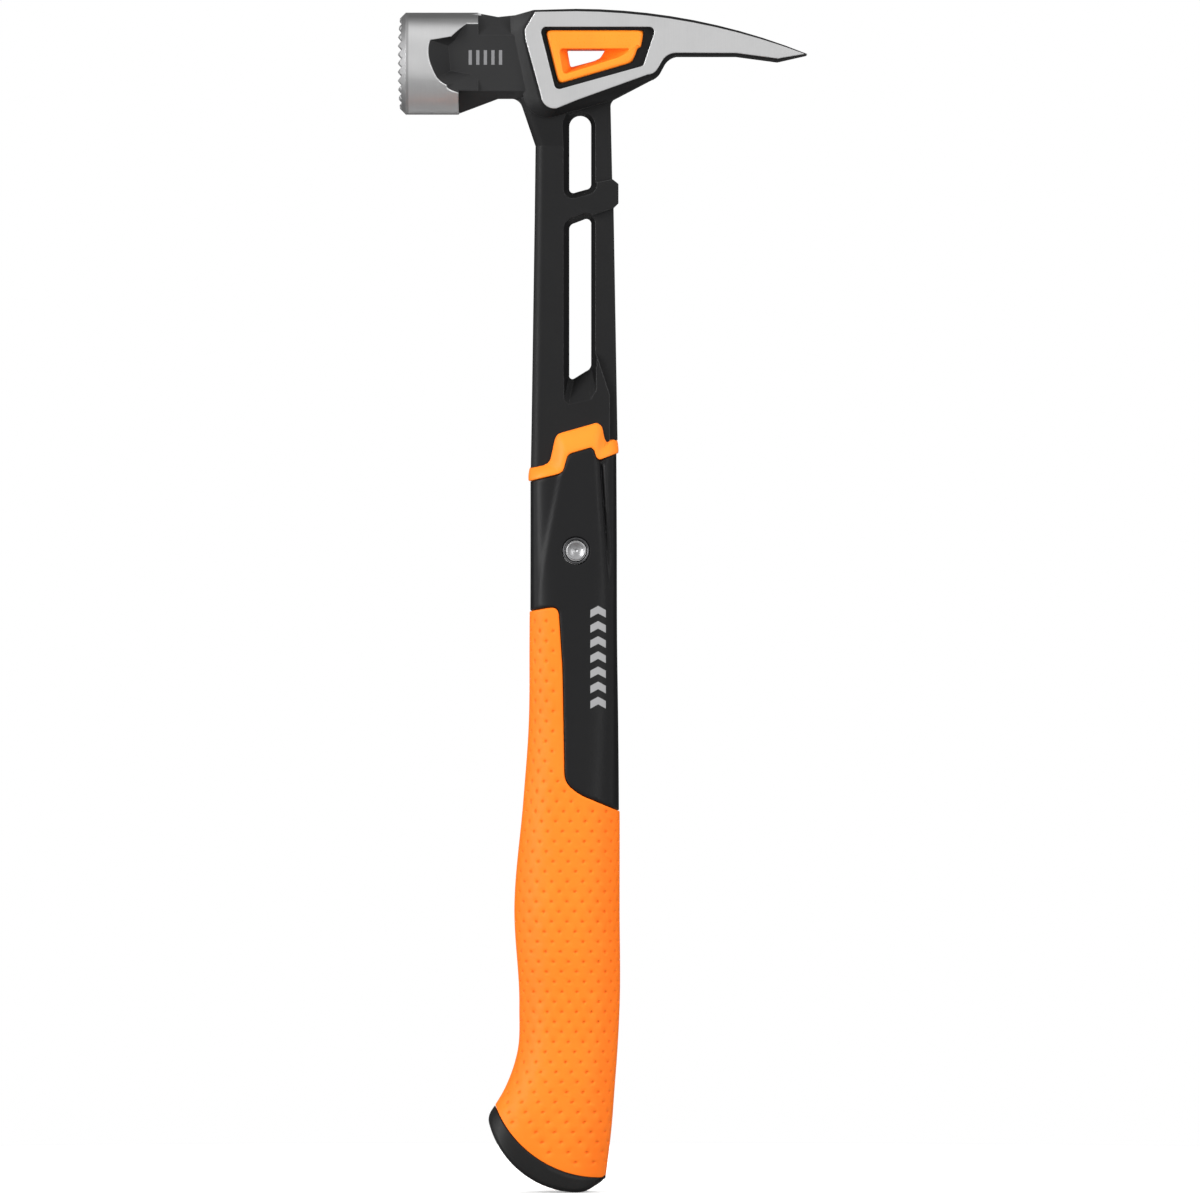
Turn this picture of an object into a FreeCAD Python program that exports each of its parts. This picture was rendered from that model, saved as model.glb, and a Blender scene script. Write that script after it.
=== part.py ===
import FreeCAD, Part
import math
import os

import Sketcher

# Claw hammer with a one-piece forged head, shaft and tang in an isolated, overmoulded handle.
# Frame: +Z runs up the handle to the head, -X is the striking side, +X the claw side.
# The origin is on the handle's axis at the level of the butt's lowest point. Millimetres.

SIZES = {
    # head, seen from the side
    "head_top": 406.4,          # crown of the head above the butt
    "bell_axis": 387.9,         # height of the striking axis
    "bell_radius": 17.55,
    "bell_chamfer": 2.0,
    "bell_back": 33.6,          # where the round bell ends on top
    "bell_back_low": 40.3,      # and underneath
    "claw_tip": 79.4,
    "claw_tip_height": 390.9,
    "claw_heel": 69.3,          # where the chisel bevel of the tip starts
    "claw_underside": 390.5,
    "claw_edge": 1.0,           # chamfer round the side panels, seen from the side
    # milled face
    "face_tip": 61.4,           # reach of the middle teeth in front of the handle axis
    "face_rim": 60.5,           # reach of the teeth at the rim
    "tooth_root": 59.7,
    "tooth_pitch": 3.0,
    "tooth_grooves": 12,
    # head, across
    "cheek_half": 14.0,         # ground side panels
    "edge_half": 12.8,          # outer edge of the chamfer round the panels
    "core_half": 10.5,          # root of the slopes below the panels
    "neck_half": 11.0,          # flats of the bell's neck
    "neck_flat_top": 397.4,     # upper and lower edge of those flats
    "neck_flat_low": 378.3,
    "neck_low": 376.0,          # underside of the neck where it meets the shaft
    "crotch_round": 4.0,        # round between the neck's underside and the shaft's gusset
    "crotch_reach": 19.5,       # where those two would meet, in front of the handle axis
    # nail slot between the claws
    "nail_slot_root": 40.0,
    "nail_slot_root_half": 1.0,
    "nail_slot_mouth_half": 4.6,
    # window in the cheek
    "window_top": 400.2,
    "window_round": 1.8,
    "ledge_depth": 3.0,         # how deep the insert's ledge lies below the panel
    "insert_top": 399.1,
    "insert_half": 12.6,
    "insert_web_half": 5.0,
    "insert_round": 1.2,
    # forged shaft
    "shaft_front": 13.9,
    "shaft_front_low": 15.7,
    "shaft_rear": 11.9,
    "shaft_rear_low": 14.3,
    "shaft_top": 377.5,         # inside the cheek
    "rear_round_low": 373.2,    # foot of the round between the rear rail and the cheek
    "gusset_low": 359.5,        # where the front rail starts to widen towards the neck
    "rail_front_half": 7.5,
    "rail_rear_half": 5.5,
    "rail_inner": 2.3,          # slot side of the front rail
    "rail_round": 3.0,
    "slot_draft": 15.0,         # degrees
    "slot_rear": 5.2,
    "hang_slot_top": 369.9,
    "hang_slot_low": 343.4,
    "long_slot_top": 334.6,
    "long_slot_low": 279.5,
    "bump_rear": 14.6,
    "bridge_top": 346.4,
    "bridge_low": 340.0,
    # tang
    "tang_front": 8.0,
    "tang_rear": 6.5,
    "tang_half": 3.5,
    "tang_low": 34.0,
    # zig-zag band between forging and shell
    "band_front": 248.9,        # front end of the band's upper edge
    "band_half": 10.2,
    "sleeve_wall": 1.5,
    # cross pin
    "pin_height": 220.4,
    "pin_radius": 3.35,
    "tube_bore": 3.4,
    "tube_radius": 4.6,
    "tang_bore": 6.1,           # hole in the tang, lined by the sleeve
    "pin_half": 12.2,
    "pin_dish": 1.2,
    # handle
    "grip_top": 200.0,
    "grip_skin": 2.5,
    "butt_radius": 32.6,
    "butt_middle": 1.5,
    "butt_slant_low": 3.2,      # where the butt turns up to the rear
    "butt_slant_rear": 10.4,
    "butt_slant_top": 4.4,
    "cap_radius": 39.5,
    "cap_middle": 8.8,
    "cap_thick": 5.1,
}

# The handle's outer form: height, reach to the front and to the rear, half depth, corner round.
STATIONS = {
    "collar": (260.0, 15.9, 14.1, 10.8, 4.5),
    "shoulder": (225.0, 15.9, 14.3, 11.6, 5.5),
    "pin_zone": (190.0, 16.0, 14.4, 12.2, 7.0),
    "waist": (160.0, 16.3, 14.8, 12.8, 8.5),
    "palm_top": (135.0, 18.1, 15.0, 13.6, 10.0),
    "palm": (98.0, 21.2, 15.0, 14.8, 11.5),
    "pinch": (64.0, 19.5, 15.0, 14.0, 11.0),
    "flare_start": (48.0, 20.3, 14.2, 14.2, 10.5),
    "flare": (36.0, 24.3, 13.3, 14.8, 10.5),
    "heel": (24.0, 31.5, 12.4, 15.4, 10.5),
    "butt": (-4.0, 44.0, 9.0, 16.0, 10.5),
}
STATION_SIZES = ("height", "front", "rear", "half", "round")
for station, values in STATIONS.items():
    for label, value in zip(STATION_SIZES, values):
        SIZES["%s_%s" % (station, label)] = value


class Size:
    """A number that remembers the spreadsheet formula it comes from."""

    def __init__(self, value, formula):
        self.value = value
        self.formula = formula

    def join(self, sign, other, value):
        formula = other.formula if isinstance(other, Size) else "(%.9g)" % other
        return Size(value, "(%s %s %s)" % (self.formula, sign, formula))

    def __add__(self, other):
        return self.join("+", other, self.value + number(other))

    def __sub__(self, other):
        return self.join("-", other, self.value - number(other))

    def __radd__(self, other):
        return self + other

    def __rsub__(self, other):
        return -self + other

    def __mul__(self, other):
        return self.join("*", other, self.value * number(other))

    def __truediv__(self, other):
        return self.join("/", other, self.value / number(other))

    def __neg__(self):
        return Size(-self.value, "(0 - %s)" % self.formula)


def number(size):
    return size.value if isinstance(size, Size) else float(size)


doc = FreeCAD.newDocument("claw_hammer")
sheet = doc.addObject("Spreadsheet::Sheet", "sizes")
for row, (alias, value) in enumerate(SIZES.items(), start=1):
    sheet.set("A%d" % row, alias)
    sheet.set("B%d" % row, str(value))
    sheet.setAlias("B%d" % row, alias)
doc.recompute()


def cell(alias):
    return Size(float(SIZES[alias]), "sizes." + alias)


def bind(item, prop, size):
    """Set a property from a size, through the sheet where the size comes from it."""
    if isinstance(size, Size):
        item.setExpression(prop, size.formula)
    else:
        setattr(item, prop, size)


# ---- sketches ------------------------------------------------------------------------------

ORIGIN_POINT = (-1, 1)
BEND = 1.0 - math.sqrt(0.5)     # how far a quarter round's middle lies inside its corner


def place_point(sketch, geometry, point, u, v):
    """Hold one point of the sketch at u, v."""
    for kind, size in (("DistanceX", u), ("DistanceY", v)):
        index = sketch.addConstraint(
            Sketcher.Constraint(kind, *ORIGIN_POINT, geometry, point, number(size)))
        if isinstance(size, Size):
            sketch.setExpression("Constraints[%d]" % index, size.formula)


def draw(sketch, outline):
    """Draw a closed outline. A corner is (u, v); ("by", u, v) bends the edge through u, v."""
    corners = [step for step in outline if step[0] != "by"]
    bends = {}
    seen = 0
    for step in outline:
        if step[0] == "by":
            bends[seen - 1] = step[1:]
        else:
            seen += 1
    points = [FreeCAD.Vector(number(u), number(v), 0) for u, v in corners]
    edges = []
    for index, start in enumerate(points):
        end = points[(index + 1) % len(points)]
        if index in bends:
            u, v = bends[index]
            middle = FreeCAD.Vector(number(u), number(v), 0)
            left_turn = (middle - start).cross(end - middle).z > 0
            ends = (start, middle, end) if left_turn else (end, middle, start)
            edge = sketch.addGeometry(Part.ArcOfCircle(*ends), False)
            knot = sketch.addGeometry(Part.Point(middle), True)
            place_point(sketch, knot, 1, u, v)
            sketch.addConstraint(Sketcher.Constraint("PointOnObject", knot, 1, edge))
            edges.append((edge, 1, 2) if left_turn else (edge, 2, 1))
        else:
            edge = sketch.addGeometry(Part.LineSegment(start, end), False)
            edges.append((edge, 1, 2))
    for index, (edge, first, _) in enumerate(edges):
        before, _, last = edges[index - 1]
        sketch.addConstraint(Sketcher.Constraint("Coincident", before, last, edge, first))
        place_point(sketch, edge, first, *corners[index])


def origin_plane(body, role):
    return [item for item in body.Origin.OriginFeatures if item.Role == role][0]


def sketch_in(body, name, role, outline, offset=0.0, lift=0.0):
    """A sketch on one of the body's origin planes.

    XZ_Plane draws (x, z) and its normal is -Y, YZ_Plane draws (y, z) and its normal is +X,
    XY_Plane draws (x, y) and its normal is +Z. The sketch is moved along its normal by offset
    and along its own second axis by lift.
    """
    sketch = body.newObject("Sketcher::SketchObject", name)
    sketch.AttachmentSupport = [(origin_plane(body, role), "")]
    sketch.MapMode = "FlatFace"
    place = FreeCAD.Vector(0, number(lift), number(offset))
    sketch.AttachmentOffset = FreeCAD.Placement(place, FreeCAD.Rotation())
    for axis, size in (("y", lift), ("z", offset)):
        if isinstance(size, Size):
            sketch.setExpression("AttachmentOffset.Base." + axis, size.formula)
    draw(sketch, outline)
    return sketch


# ---- features ------------------------------------------------------------------------------

def prism(body, name, role, outline, length, sort="Pad", offset=0.0):
    """Pad, or pocket, an outline equally to both sides of its plane."""
    profile = sketch_in(body, name + "_outline", role, outline, offset)
    feature = body.newObject("PartDesign::" + sort, name)
    feature.Profile = profile
    feature.SideType = "Symmetric"
    bind(feature, "Length", length)
    return feature


def loft(body, name, role, sections, sort="Additive"):
    """Ruled loft through outlines, each given with its offset along the plane's normal."""
    sketches = [sketch_in(body, "%s_section_%d" % (name, index), role, outline, offset)
                for index, (offset, outline) in enumerate(sections, start=1)]
    feature = body.newObject("PartDesign::%sLoft" % sort, name)
    feature.Profile = sketches[0]
    feature.Sections = sketches[1:]
    feature.Ruled = True
    return feature


def new_body(name):
    body = doc.addObject("PartDesign::Body", name)
    body.Label = name
    return body


def both_sides(body, name, feature):
    """Repeat a feature on the other side of the plane of symmetry."""
    mirror = body.newObject("PartDesign::Mirrored", name)
    mirror.Originals = [feature]
    mirror.MirrorPlane = (origin_plane(body, "XZ_Plane"), [""])
    body.Tip = mirror
    return mirror


def row_of(body, name, feature, role, pitch, count):
    """Repeat a feature at a pitch along one of the body's origin axes."""
    pattern = body.newObject("PartDesign::LinearPattern", name)
    pattern.Originals = [feature]
    pattern.Direction = (origin_plane(body, role), [""])
    pattern.Mode = "Spacing"
    bind(pattern, "Offset", pitch)
    pattern.Occurrences = count
    body.Tip = pattern
    return pattern


def round_edges(body, name, radius, wanted):
    """Fillet the edges of the body so far that wanted(one end, other end) picks."""
    doc.recompute()
    base = body.Tip
    names = ["Edge%d" % index for index, edge in enumerate(base.Shape.Edges, start=1)
             if wanted(edge.Vertexes[0].Point, edge.Vertexes[-1].Point)]
    fillet = body.newObject("PartDesign::Fillet", name)
    fillet.Base = (base, names)
    bind(fillet, "Radius", radius)


# ---- forged head, shaft and tang ------------------------------------------------------------

HEAD_TOP = cell("head_top")
TIP = cell("claw_tip")
TIP_HEIGHT = cell("claw_tip_height")
UNDERSIDE = cell("claw_underside")
HEEL = cell("claw_heel")
EDGE = cell("claw_edge")
NEAR = 0.05                     # two points closer than this are the same corner
MIDDLE = 40.0                   # where the crowned top edge is given its bend


def crown(x):
    """Drop of the head's crowned top at a distance x behind its highest point."""
    drop = number(HEAD_TOP - TIP_HEIGHT)
    radius = (number(TIP) ** 2 + drop ** 2) / (2 * drop)
    return radius - math.sqrt(radius ** 2 - x ** 2)


def cheek_sections():
    """Ground side panel, its chamfer, and the root of the slopes under it."""
    panel_top = HEAD_TOP - EDGE
    panel = [
        (-13.9, HEAD_TOP - 1.2), (0.0, panel_top), ("by", MIDDLE, panel_top - crown(MIDDLE)),
        (TIP - EDGE, TIP_HEIGHT), (HEEL, UNDERSIDE - 1.1), (55.0, UNDERSIDE + 0.8),
        (34.6, UNDERSIDE + 0.9), ("by", 31.7, 390.75), (29.8, 389.2), (27.9, 386.0),
        ("by", 26.6, 384.6), (24.6, 384.0), (0.7, 375.4),
        (-6.6, 372.4), ("by", -10.0, 373.2), (-11.8, 376.4), (-17.2, 396.0), (-17.4, 399.3)]
    back = [
        (0.0, HEAD_TOP), ("by", MIDDLE, HEAD_TOP - crown(MIDDLE)), (TIP, TIP_HEIGHT),
        (HEEL, UNDERSIDE - 1.9), (55.0, UNDERSIDE), (35.2, UNDERSIDE)]
    chamfer = [(-14.6, HEAD_TOP - 0.4)] + back + [
        ("by", 32.4, 389.85), (30.5, 388.1), (28.9, 385.4), ("by", 27.5, 383.75),
        (25.4, 383.0), (1.2, 374.3),
        (-6.9, 371.3), ("by", -10.9, 372.3), (-12.9, 376.0), (-18.1, 395.9), (-18.4, 399.5)]
    root = [(-22.5, 403.8)] + back + [
        ("by", 32.4, 389.6), (30.6, 387.8), (29.2, 385.2), ("by", 28.0, 383.6),
        (25.8, 382.3), (12.2, 375.2),
        (-8.0, 369.3), ("by", -14.8, 370.9), (-18.0, 376.5), (-21.0, 392.6), (-22.3, 398.8)]
    halves = (cell("cheek_half"), cell("edge_half"), cell("core_half"))
    near = list(zip(halves, (panel, chamfer, root)))
    far = [(-half, outline) for half, outline in reversed(near)]
    return near + far


def neck_section(top_half, top, low_half, low):
    """Eight-sided section of the bell's neck, drawn as (y, z)."""
    flat = cell("neck_half")
    flat_top = cell("neck_flat_top")
    flat_low = cell("neck_flat_low")
    return [(-top_half, top), (top_half, top), (flat, flat_top), (flat, flat_low),
            (low_half, low), (-low_half, low), (-flat, flat_low), (-flat, flat_top)]


def make_bell(body):
    """Round bell, relieved on both sides down to the flats of its neck."""
    radius = cell("bell_radius")
    chamfer = cell("bell_chamfer")
    back = -cell("bell_back")
    rim = -cell("face_rim")
    middle = number(radius) / 2
    sag = number(cell("face_tip") - cell("face_rim")) / 4
    profile = sketch_in(body, "bell_profile", "XZ_Plane", [
        (back, 0.0), (-cell("face_tip"), 0.0), ("by", -cell("face_tip") + sag, middle),
        (rim, radius - chamfer), (rim + chamfer, radius), (back, radius)],
        lift=cell("bell_axis"))
    bell = body.newObject("PartDesign::Revolution", "bell")
    bell.Profile = profile
    bell.ReferenceAxis = (profile, ["H_Axis"])
    bell.Angle = 360.0

    low_back = -cell("bell_back_low")
    prism(body, "bell_underside", "XZ_Plane",
          [(low_back, 378.3), (low_back, 360.0), (-25.0, 360.0), (-25.0, 378.3)],
          radius * 2.2, "Pocket")

    flat = cell("neck_half")
    outside = flat + 8.0        # beyond the bell's round
    relief = loft(body, "bell_relief", "XZ_Plane", [
        (flat, [(-43.8, 393.7), (-41.5, 395.6), (-36.0, 403.6), (-20.0, 403.6),
                (-20.0, 378.3), (-27.6, 378.3), (-35.7, 383.9), (-43.0, 385.2)]),
        (outside, [(-54.8, 397.1), (-44.2, 398.3), (-38.7, 406.3), (-20.0, 406.3),
                   (-20.0, 373.0), (-62.5, 376.2), (-50.9, 377.2), (-49.7, 381.4)])],
        "Subtractive")
    both_sides(body, "bell_relief_far", relief)


def make_neck(body):
    """Eight-sided neck between bell and cheek."""
    loft(body, "bell_neck", "YZ_Plane", [
        (-cell("bell_back_low"), neck_section(7.0, 403.6, 3.5, 370.75)),
        (-cell("bell_back"), neck_section(4.8, 405.1, 4.8, 373.3)),
        (-26.8, neck_section(5.6, 403.8, 6.0, 375.9)),
        (-20.0, neck_section(6.0, 404.5, 9.5, cell("neck_low"))),
        (-14.0, neck_section(6.0, 404.8, 9.5, cell("neck_low")))])


def make_crotch(body):
    """Web with a round that carries the neck's underside over into the front of the shaft."""
    low = cell("neck_low")
    radius = cell("crotch_round")
    corner = -cell("crotch_reach")
    lean = math.radians(71.4)   # steepness of the gusset's front
    reach = radius * math.tan(lean / 2)
    start = (-reach + corner, low)
    end = (reach * math.cos(lean) + corner, -(reach * math.sin(lean)) + low)
    inward = radius * (1 - math.cos(lean / 2))
    bend = (start[0] + radius * math.sin(lean / 2), -inward + low)
    prism(body, "crotch", "XZ_Plane",
          [start, ("by",) + bend, end, (-14.0, low - radius), (-14.0, low + radius),
           (start[0], low + radius)], cell("rail_front_half") * 2)


def band_line(upper):
    """Zig-zag edge of the band, from front to rear: its upper or its lower edge."""
    base = cell("band_front")
    front = -cell("shaft_front_low")
    rear = cell("shaft_rear_low")
    if upper:
        return [(front, base), (-9.7, base + 1.1), (-8.5, base + 2.7), (-7.0, base + 9.6),
                (-6.1, base + 11.4), (7.2, base + 15.2), (8.7, base + 14.2),
                (9.6, base + 9.7), (10.6, base + 8.5), (rear, base + 9.6)]
    return [(front, base - 4.5), (-5.8, base - 2.1), (-4.4, base - 1.1), (-3.0, base + 3.9),
            (-2.0, base + 4.9), (5.3, base + 7.0), (6.3, base + 6.0),
            (7.0, base + 3.5), (8.2, base + 2.7), (rear, base + 5.1)]


def rail_section(front, half):
    """Level section of the front rail, round at its two front corners."""
    inner = -cell("rail_inner")
    corner = cell("rail_round")
    bend = corner * BEND
    return [(front + corner, -half), (inner, -half), (inner, half), (front + corner, half),
            ("by", front + bend, half - bend), (front, half - corner), (front, corner - half),
            ("by", front + bend, bend - half)]


def make_shaft(body):
    """Open shaft: thick front rail, web and bridge, thin rear rail."""
    front = -cell("shaft_front")
    front_low = -cell("shaft_front_low")
    rear = cell("shaft_rear")
    rear_low = cell("shaft_rear_low")
    half = cell("rail_front_half")
    bump = cell("bump_rear")
    bridge_top = cell("bridge_top")
    bridge_low = cell("bridge_low")
    base = cell("band_front")
    floor = base - 8.0          # below the lowest point of the band's edge
    inside = cell("rail_inner")
    top = cell("shaft_top")
    round_low = cell("rear_round_low")
    gusset_low = cell("gusset_low")

    prism(body, "shaft_plate", "XZ_Plane",
          [(front + inside, top), (front + inside, floor), (rear_low, floor),
           (rear_low, base + 9.6), (12.9, bridge_low), (12.5, bridge_top), (rear, round_low),
           ("by", rear + 0.43, round_low + 1.55), (rear + 1.61, round_low + 2.66),
           (rear + 1.61, top)], cell("rail_rear_half") * 2)
    loft(body, "shaft_gusset", "XY_Plane", [
        (gusset_low, rail_section(front, half)),
        (cell("neck_low"), rail_section(-cell("crotch_reach"), cell("core_half")))])
    loft(body, "front_rail", "XY_Plane", [
        (gusset_low, rail_section(front, half)), (335.0, rail_section(front - 0.3, half)),
        (262.0, rail_section(front_low + 0.4, half)), (floor, rail_section(front_low, half))])
    prism(body, "lower_web", "XZ_Plane",
          [(-6.1, 284.0), (-6.1, floor), (11.5, floor), (11.5, 274.0), (6.9, 288.0)], half * 2)
    prism(body, "bridge", "XZ_Plane",
          [(-4.0, bridge_top), (-4.0, 332.0), (8.0, 336.5), (bump - 1.8, bridge_low - 1.8),
           (bump, bridge_low), (bump, bridge_top), (bump - 2.0, bridge_top + 1.6),
           (8.0, bridge_top + 0.6)], half * 2)
    make_slot_ramp(body, half)
    below = -40.0
    edge = band_line(upper=True)
    prism(body, "band_seat", "XZ_Plane",
          [(below, base - 4.5)] + edge[1:-1] + [(-below, base + 18.0), (-below, floor - 1.0),
                                          (below, floor - 1.0)], half * 3, "Pocket")


def make_slot_ramp(body, half):
    """Ramp on both sides that runs down from the foot of the long slot into the web's face."""
    foot = cell("long_slot_low")
    left = -cell("rail_inner")
    right = cell("slot_rear")
    top = foot + 12.0           # inside the slot
    floor = half - 6.5          # how deep the ramp starts
    ramp = loft(body, "slot_ramp", "XZ_Plane", [
        (floor, [(left, top), (left, foot + 1.3), (left + 1.6, foot + 0.1),
                 (right - 1.7, foot + 2.7), (right, foot + 4.8), (right, top)]),
        (half, [(left - 1.8, top), (left - 1.8, foot - 7.2), (left - 0.2, foot - 8.9),
                (right - 0.2, foot - 7.2), (right + 1.7, foot - 4.2), (right + 1.7, top)])],
        "Subtractive")
    both_sides(body, "slot_ramp_far", ramp)


def make_shaft_slots(body):
    """Two slots that open outwards with the forging's draft."""
    left = -cell("rail_inner")
    right = cell("slot_rear")
    hang_top = cell("hang_slot_top")
    hang_low = cell("hang_slot_low")
    long_top = cell("long_slot_top")
    long_low = cell("long_slot_low")
    slots = {
        "hang_slot": [
            (left, hang_top - 3.6), ("by", 1.6, hang_top), (right, hang_top - 3.4),
            (right, hang_low + 3.1), ("by", right - 0.5, hang_low + 1.8),
            (right - 1.8, hang_low + 1.2), (left + 1.5, hang_low), ("by", left + 0.4, hang_low + 0.4),
            (left, hang_low + 1.5)],
        "long_slot": [
            (left, long_top - 3.6), ("by", left + 0.5, long_top - 2.3),
            (left + 1.7, long_top - 1.6), (right - 2.4, long_top - 0.3),
            ("by", right - 0.7, long_top - 0.4), (right, long_top - 2.0),
            (right, long_low + 4.8), ("by", right - 0.5, long_low + 3.6),
            (right - 1.7, long_low + 2.7), (left + 1.6, long_low + 0.1),
            ("by", left + 0.4, long_low + 0.2), (left, long_low + 1.3)]}
    for name, outline in slots.items():
        slot = prism(body, name, "XZ_Plane", outline, cell("core_half") * 2, "Pocket")
        bind(slot, "TaperAngle", cell("slot_draft"))


def make_window(body):
    """Window in the cheek: a stepped recess on both sides and the opening for the insert."""
    top = cell("window_top")
    panel = cell("cheek_half")
    depth = cell("ledge_depth")
    recess = [(-12.5, top), (27.6, top), (23.1, top - 13.4), (-7.0, top - 21.8)]
    near_recess = loft(body, "window_recess", "XZ_Plane", [
        (panel - depth, recess), (panel + 1.0, recess)], "Subtractive")
    both_sides(body, "window_recess_far", near_recess)
    round_edges(body, "window_corners", cell("window_round"),
                lambda one, other: abs(one.y - other.y) > 1.0
                and min(abs(one.y), abs(other.y)) > number(panel - depth) - NEAR
                and any(math.hypot(one.x - x, one.z - number(z)) < NEAR for x, z in recess))
    prism(body, "window_opening", "XZ_Plane", insert_outline(), panel * 2.2, "Pocket")


def insert_outline():
    top = cell("insert_top")
    return [(-10.6, top), (23.3, top), (22.3, top - 5.8), (21.1, top - 6.4),
            (19.3, top - 11.1), (-6.0, top - 18.5)]


def make_nail_slot(body):
    root = cell("nail_slot_root")
    narrow = cell("nail_slot_root_half")
    wide = cell("nail_slot_mouth_half")
    mouth = cell("claw_tip") + 1.0
    prism(body, "nail_slot", "XY_Plane",
          [(root + narrow, narrow), (mouth, wide), (mouth, -wide), (root + narrow, -narrow),
           ("by", root, 0.0)], cell("head_top") * 2.1, "Pocket")


def make_milled_face(body):
    """Crossing vee grooves leave rows of square pyramids on the striking face."""
    root = -cell("tooth_root")
    pitch = cell("tooth_pitch")
    axis = cell("bell_axis")
    first = -(pitch * 5.5)
    spread = 3.0
    outside = root - spread
    count = int(SIZES["tooth_grooves"])
    length = cell("bell_radius") * 2.2
    upright = prism(body, "upright_groove", "XY_Plane",
                    [(root, first), (outside, first - spread), (outside, first + spread)],
                    length, "Pocket", offset=axis)
    row_of(body, "upright_grooves", upright, "Y_Axis", pitch, count)
    level = prism(body, "level_groove", "XZ_Plane",
                  [(root, axis + first), (outside, axis + first - spread),
                   (outside, axis + first + spread)], length, "Pocket")
    row_of(body, "level_grooves", level, "Z_Axis", pitch, count)


def circle(x, z, radius):
    """Closed outline of a circle as two half rounds."""
    return [(x - radius, z), ("by", x, z + radius), (x + radius, z), ("by", x, z - radius)]


def make_tang(body):
    front = -cell("tang_front")
    rear = cell("tang_rear")
    low = cell("tang_low")
    neck = cell("band_front") + 20.0
    prism(body, "tang", "XZ_Plane",
          [(front, neck), (front, low), (rear, low), (rear, neck)], cell("tang_half") * 2)
    prism(body, "tang_pin_hole", "XZ_Plane", circle(0.0, cell("pin_height"), cell("tang_bore")),
          cell("tang_half") * 2.2, "Pocket")


def make_forging():
    body = new_body("forged_head")
    make_bell(body)
    make_neck(body)
    make_crotch(body)
    loft(body, "cheek", "XZ_Plane", cheek_sections())
    make_shaft(body)
    make_tang(body)
    make_shaft_slots(body)
    make_window(body)
    make_nail_slot(body)
    make_milled_face(body)
    return body


# ---- window insert --------------------------------------------------------------------------

def make_insert():
    """Plug for the window: a flat bar on top, and under it a wedge that narrows to a hole."""
    body = new_body("window_insert")
    half = cell("insert_half")
    web = cell("insert_web_half")
    top = cell("insert_top") - 6.5
    hole = [(-3.0, top), (10.1, top), (8.2, top - 3.0), (6.3, top - 3.9), (-1.9, top - 6.1)]
    mouth = [(-5.6, top), (20.0, top), (18.2, top - 1.4), (15.5, top - 2.7), (-4.2, top - 8.6)]
    outline = insert_outline()
    corners = (outline[0], outline[1], outline[4], outline[5])
    prism(body, "insert_block", "XZ_Plane", outline, half * 2)
    round_edges(body, "insert_corners", cell("insert_round"),
                lambda one, other: abs(one.y - other.y) > 1.0
                and any(math.hypot(one.x - x, one.z - number(z)) < NEAR for x, z in corners))
    wedge = loft(body, "insert_wedge", "XZ_Plane", [(web, hole), (half, mouth)], "Subtractive")
    both_sides(body, "insert_wedge_far", wedge)
    prism(body, "insert_hole", "XZ_Plane", hole, web * 2.2, "Pocket")


# ---- handle ---------------------------------------------------------------------------------

def station(name):
    return [cell("%s_%s" % (name, label)) for label in STATION_SIZES]


def oval(name, height, front, rear, half, corner):
    """Level section of the handle: straight flanks and round corners, set at its height."""
    sketch = doc.addObject("Sketcher::SketchObject", name)
    sketch.Placement = FreeCAD.Placement(FreeCAD.Vector(0, 0, number(height)), FreeCAD.Rotation())
    if isinstance(height, Size):
        sketch.setExpression("Placement.Base.z", height.formula)
    bend = corner * BEND
    draw(sketch, [
        (corner - front, -half), (rear - corner, -half), ("by", rear - bend, bend - half),
        (rear, corner - half), (rear, half - corner), ("by", rear - bend, half - bend),
        (rear - corner, half), (corner - front, half), ("by", bend - front, half - bend),
        (-front, half - corner), (-front, corner - half), ("by", bend - front, bend - half)])
    return sketch


def handle_form(name, stations, skin):
    """Smooth form through the handle's sections, smaller all round by a skin."""
    sections = []
    for station_name in stations:
        height, front, rear, half, corner = station(station_name)
        sections.append(oval("%s_%s" % (name, station_name), height,
                             front - skin, rear - skin, half - skin, corner - skin))
    form = doc.addObject("Part::Loft", name)
    form.Sections = sections
    form.Solid = True
    form.Ruled = False
    return form


def side_zone(name, outline):
    """Everything behind an outline drawn in the side view."""
    sketch = doc.addObject("Sketcher::SketchObject", name + "_outline")
    sketch.Placement = FreeCAD.Placement(
        FreeCAD.Vector(), FreeCAD.Rotation(FreeCAD.Vector(1, 0, 0), 90.0))
    draw(sketch, outline)
    zone = doc.addObject("Part::Extrusion", name)
    zone.Base = sketch
    zone.DirMode = "Normal"
    zone.Symmetric = True
    zone.Solid = True
    zone.LengthFwd = 80.0
    return zone


def boolean(sort, name, base, tool):
    result = doc.addObject("Part::" + sort, name)
    result.Base = base
    result.Tool = tool
    return result


def join(name, shapes):
    result = doc.addObject("Part::MultiFuse", name)
    result.Shapes = shapes
    result.Refine = True
    return result


def arc_height(x, middle, radius, low):
    """Height of an upward-opening arc at x."""
    return low + radius - math.sqrt(radius ** 2 - (x - middle) ** 2)


def butt_arc(radius, middle, low, front, rear):
    """Two corners and a bend along a round of the butt, from its front to its rear end."""
    through = -12.0
    heights = [arc_height(x, SIZES[middle], SIZES[radius], low) for x in (front, through, rear)]
    return [(front, heights[0]), ("by", through, heights[1]), (rear, heights[2])]


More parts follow.
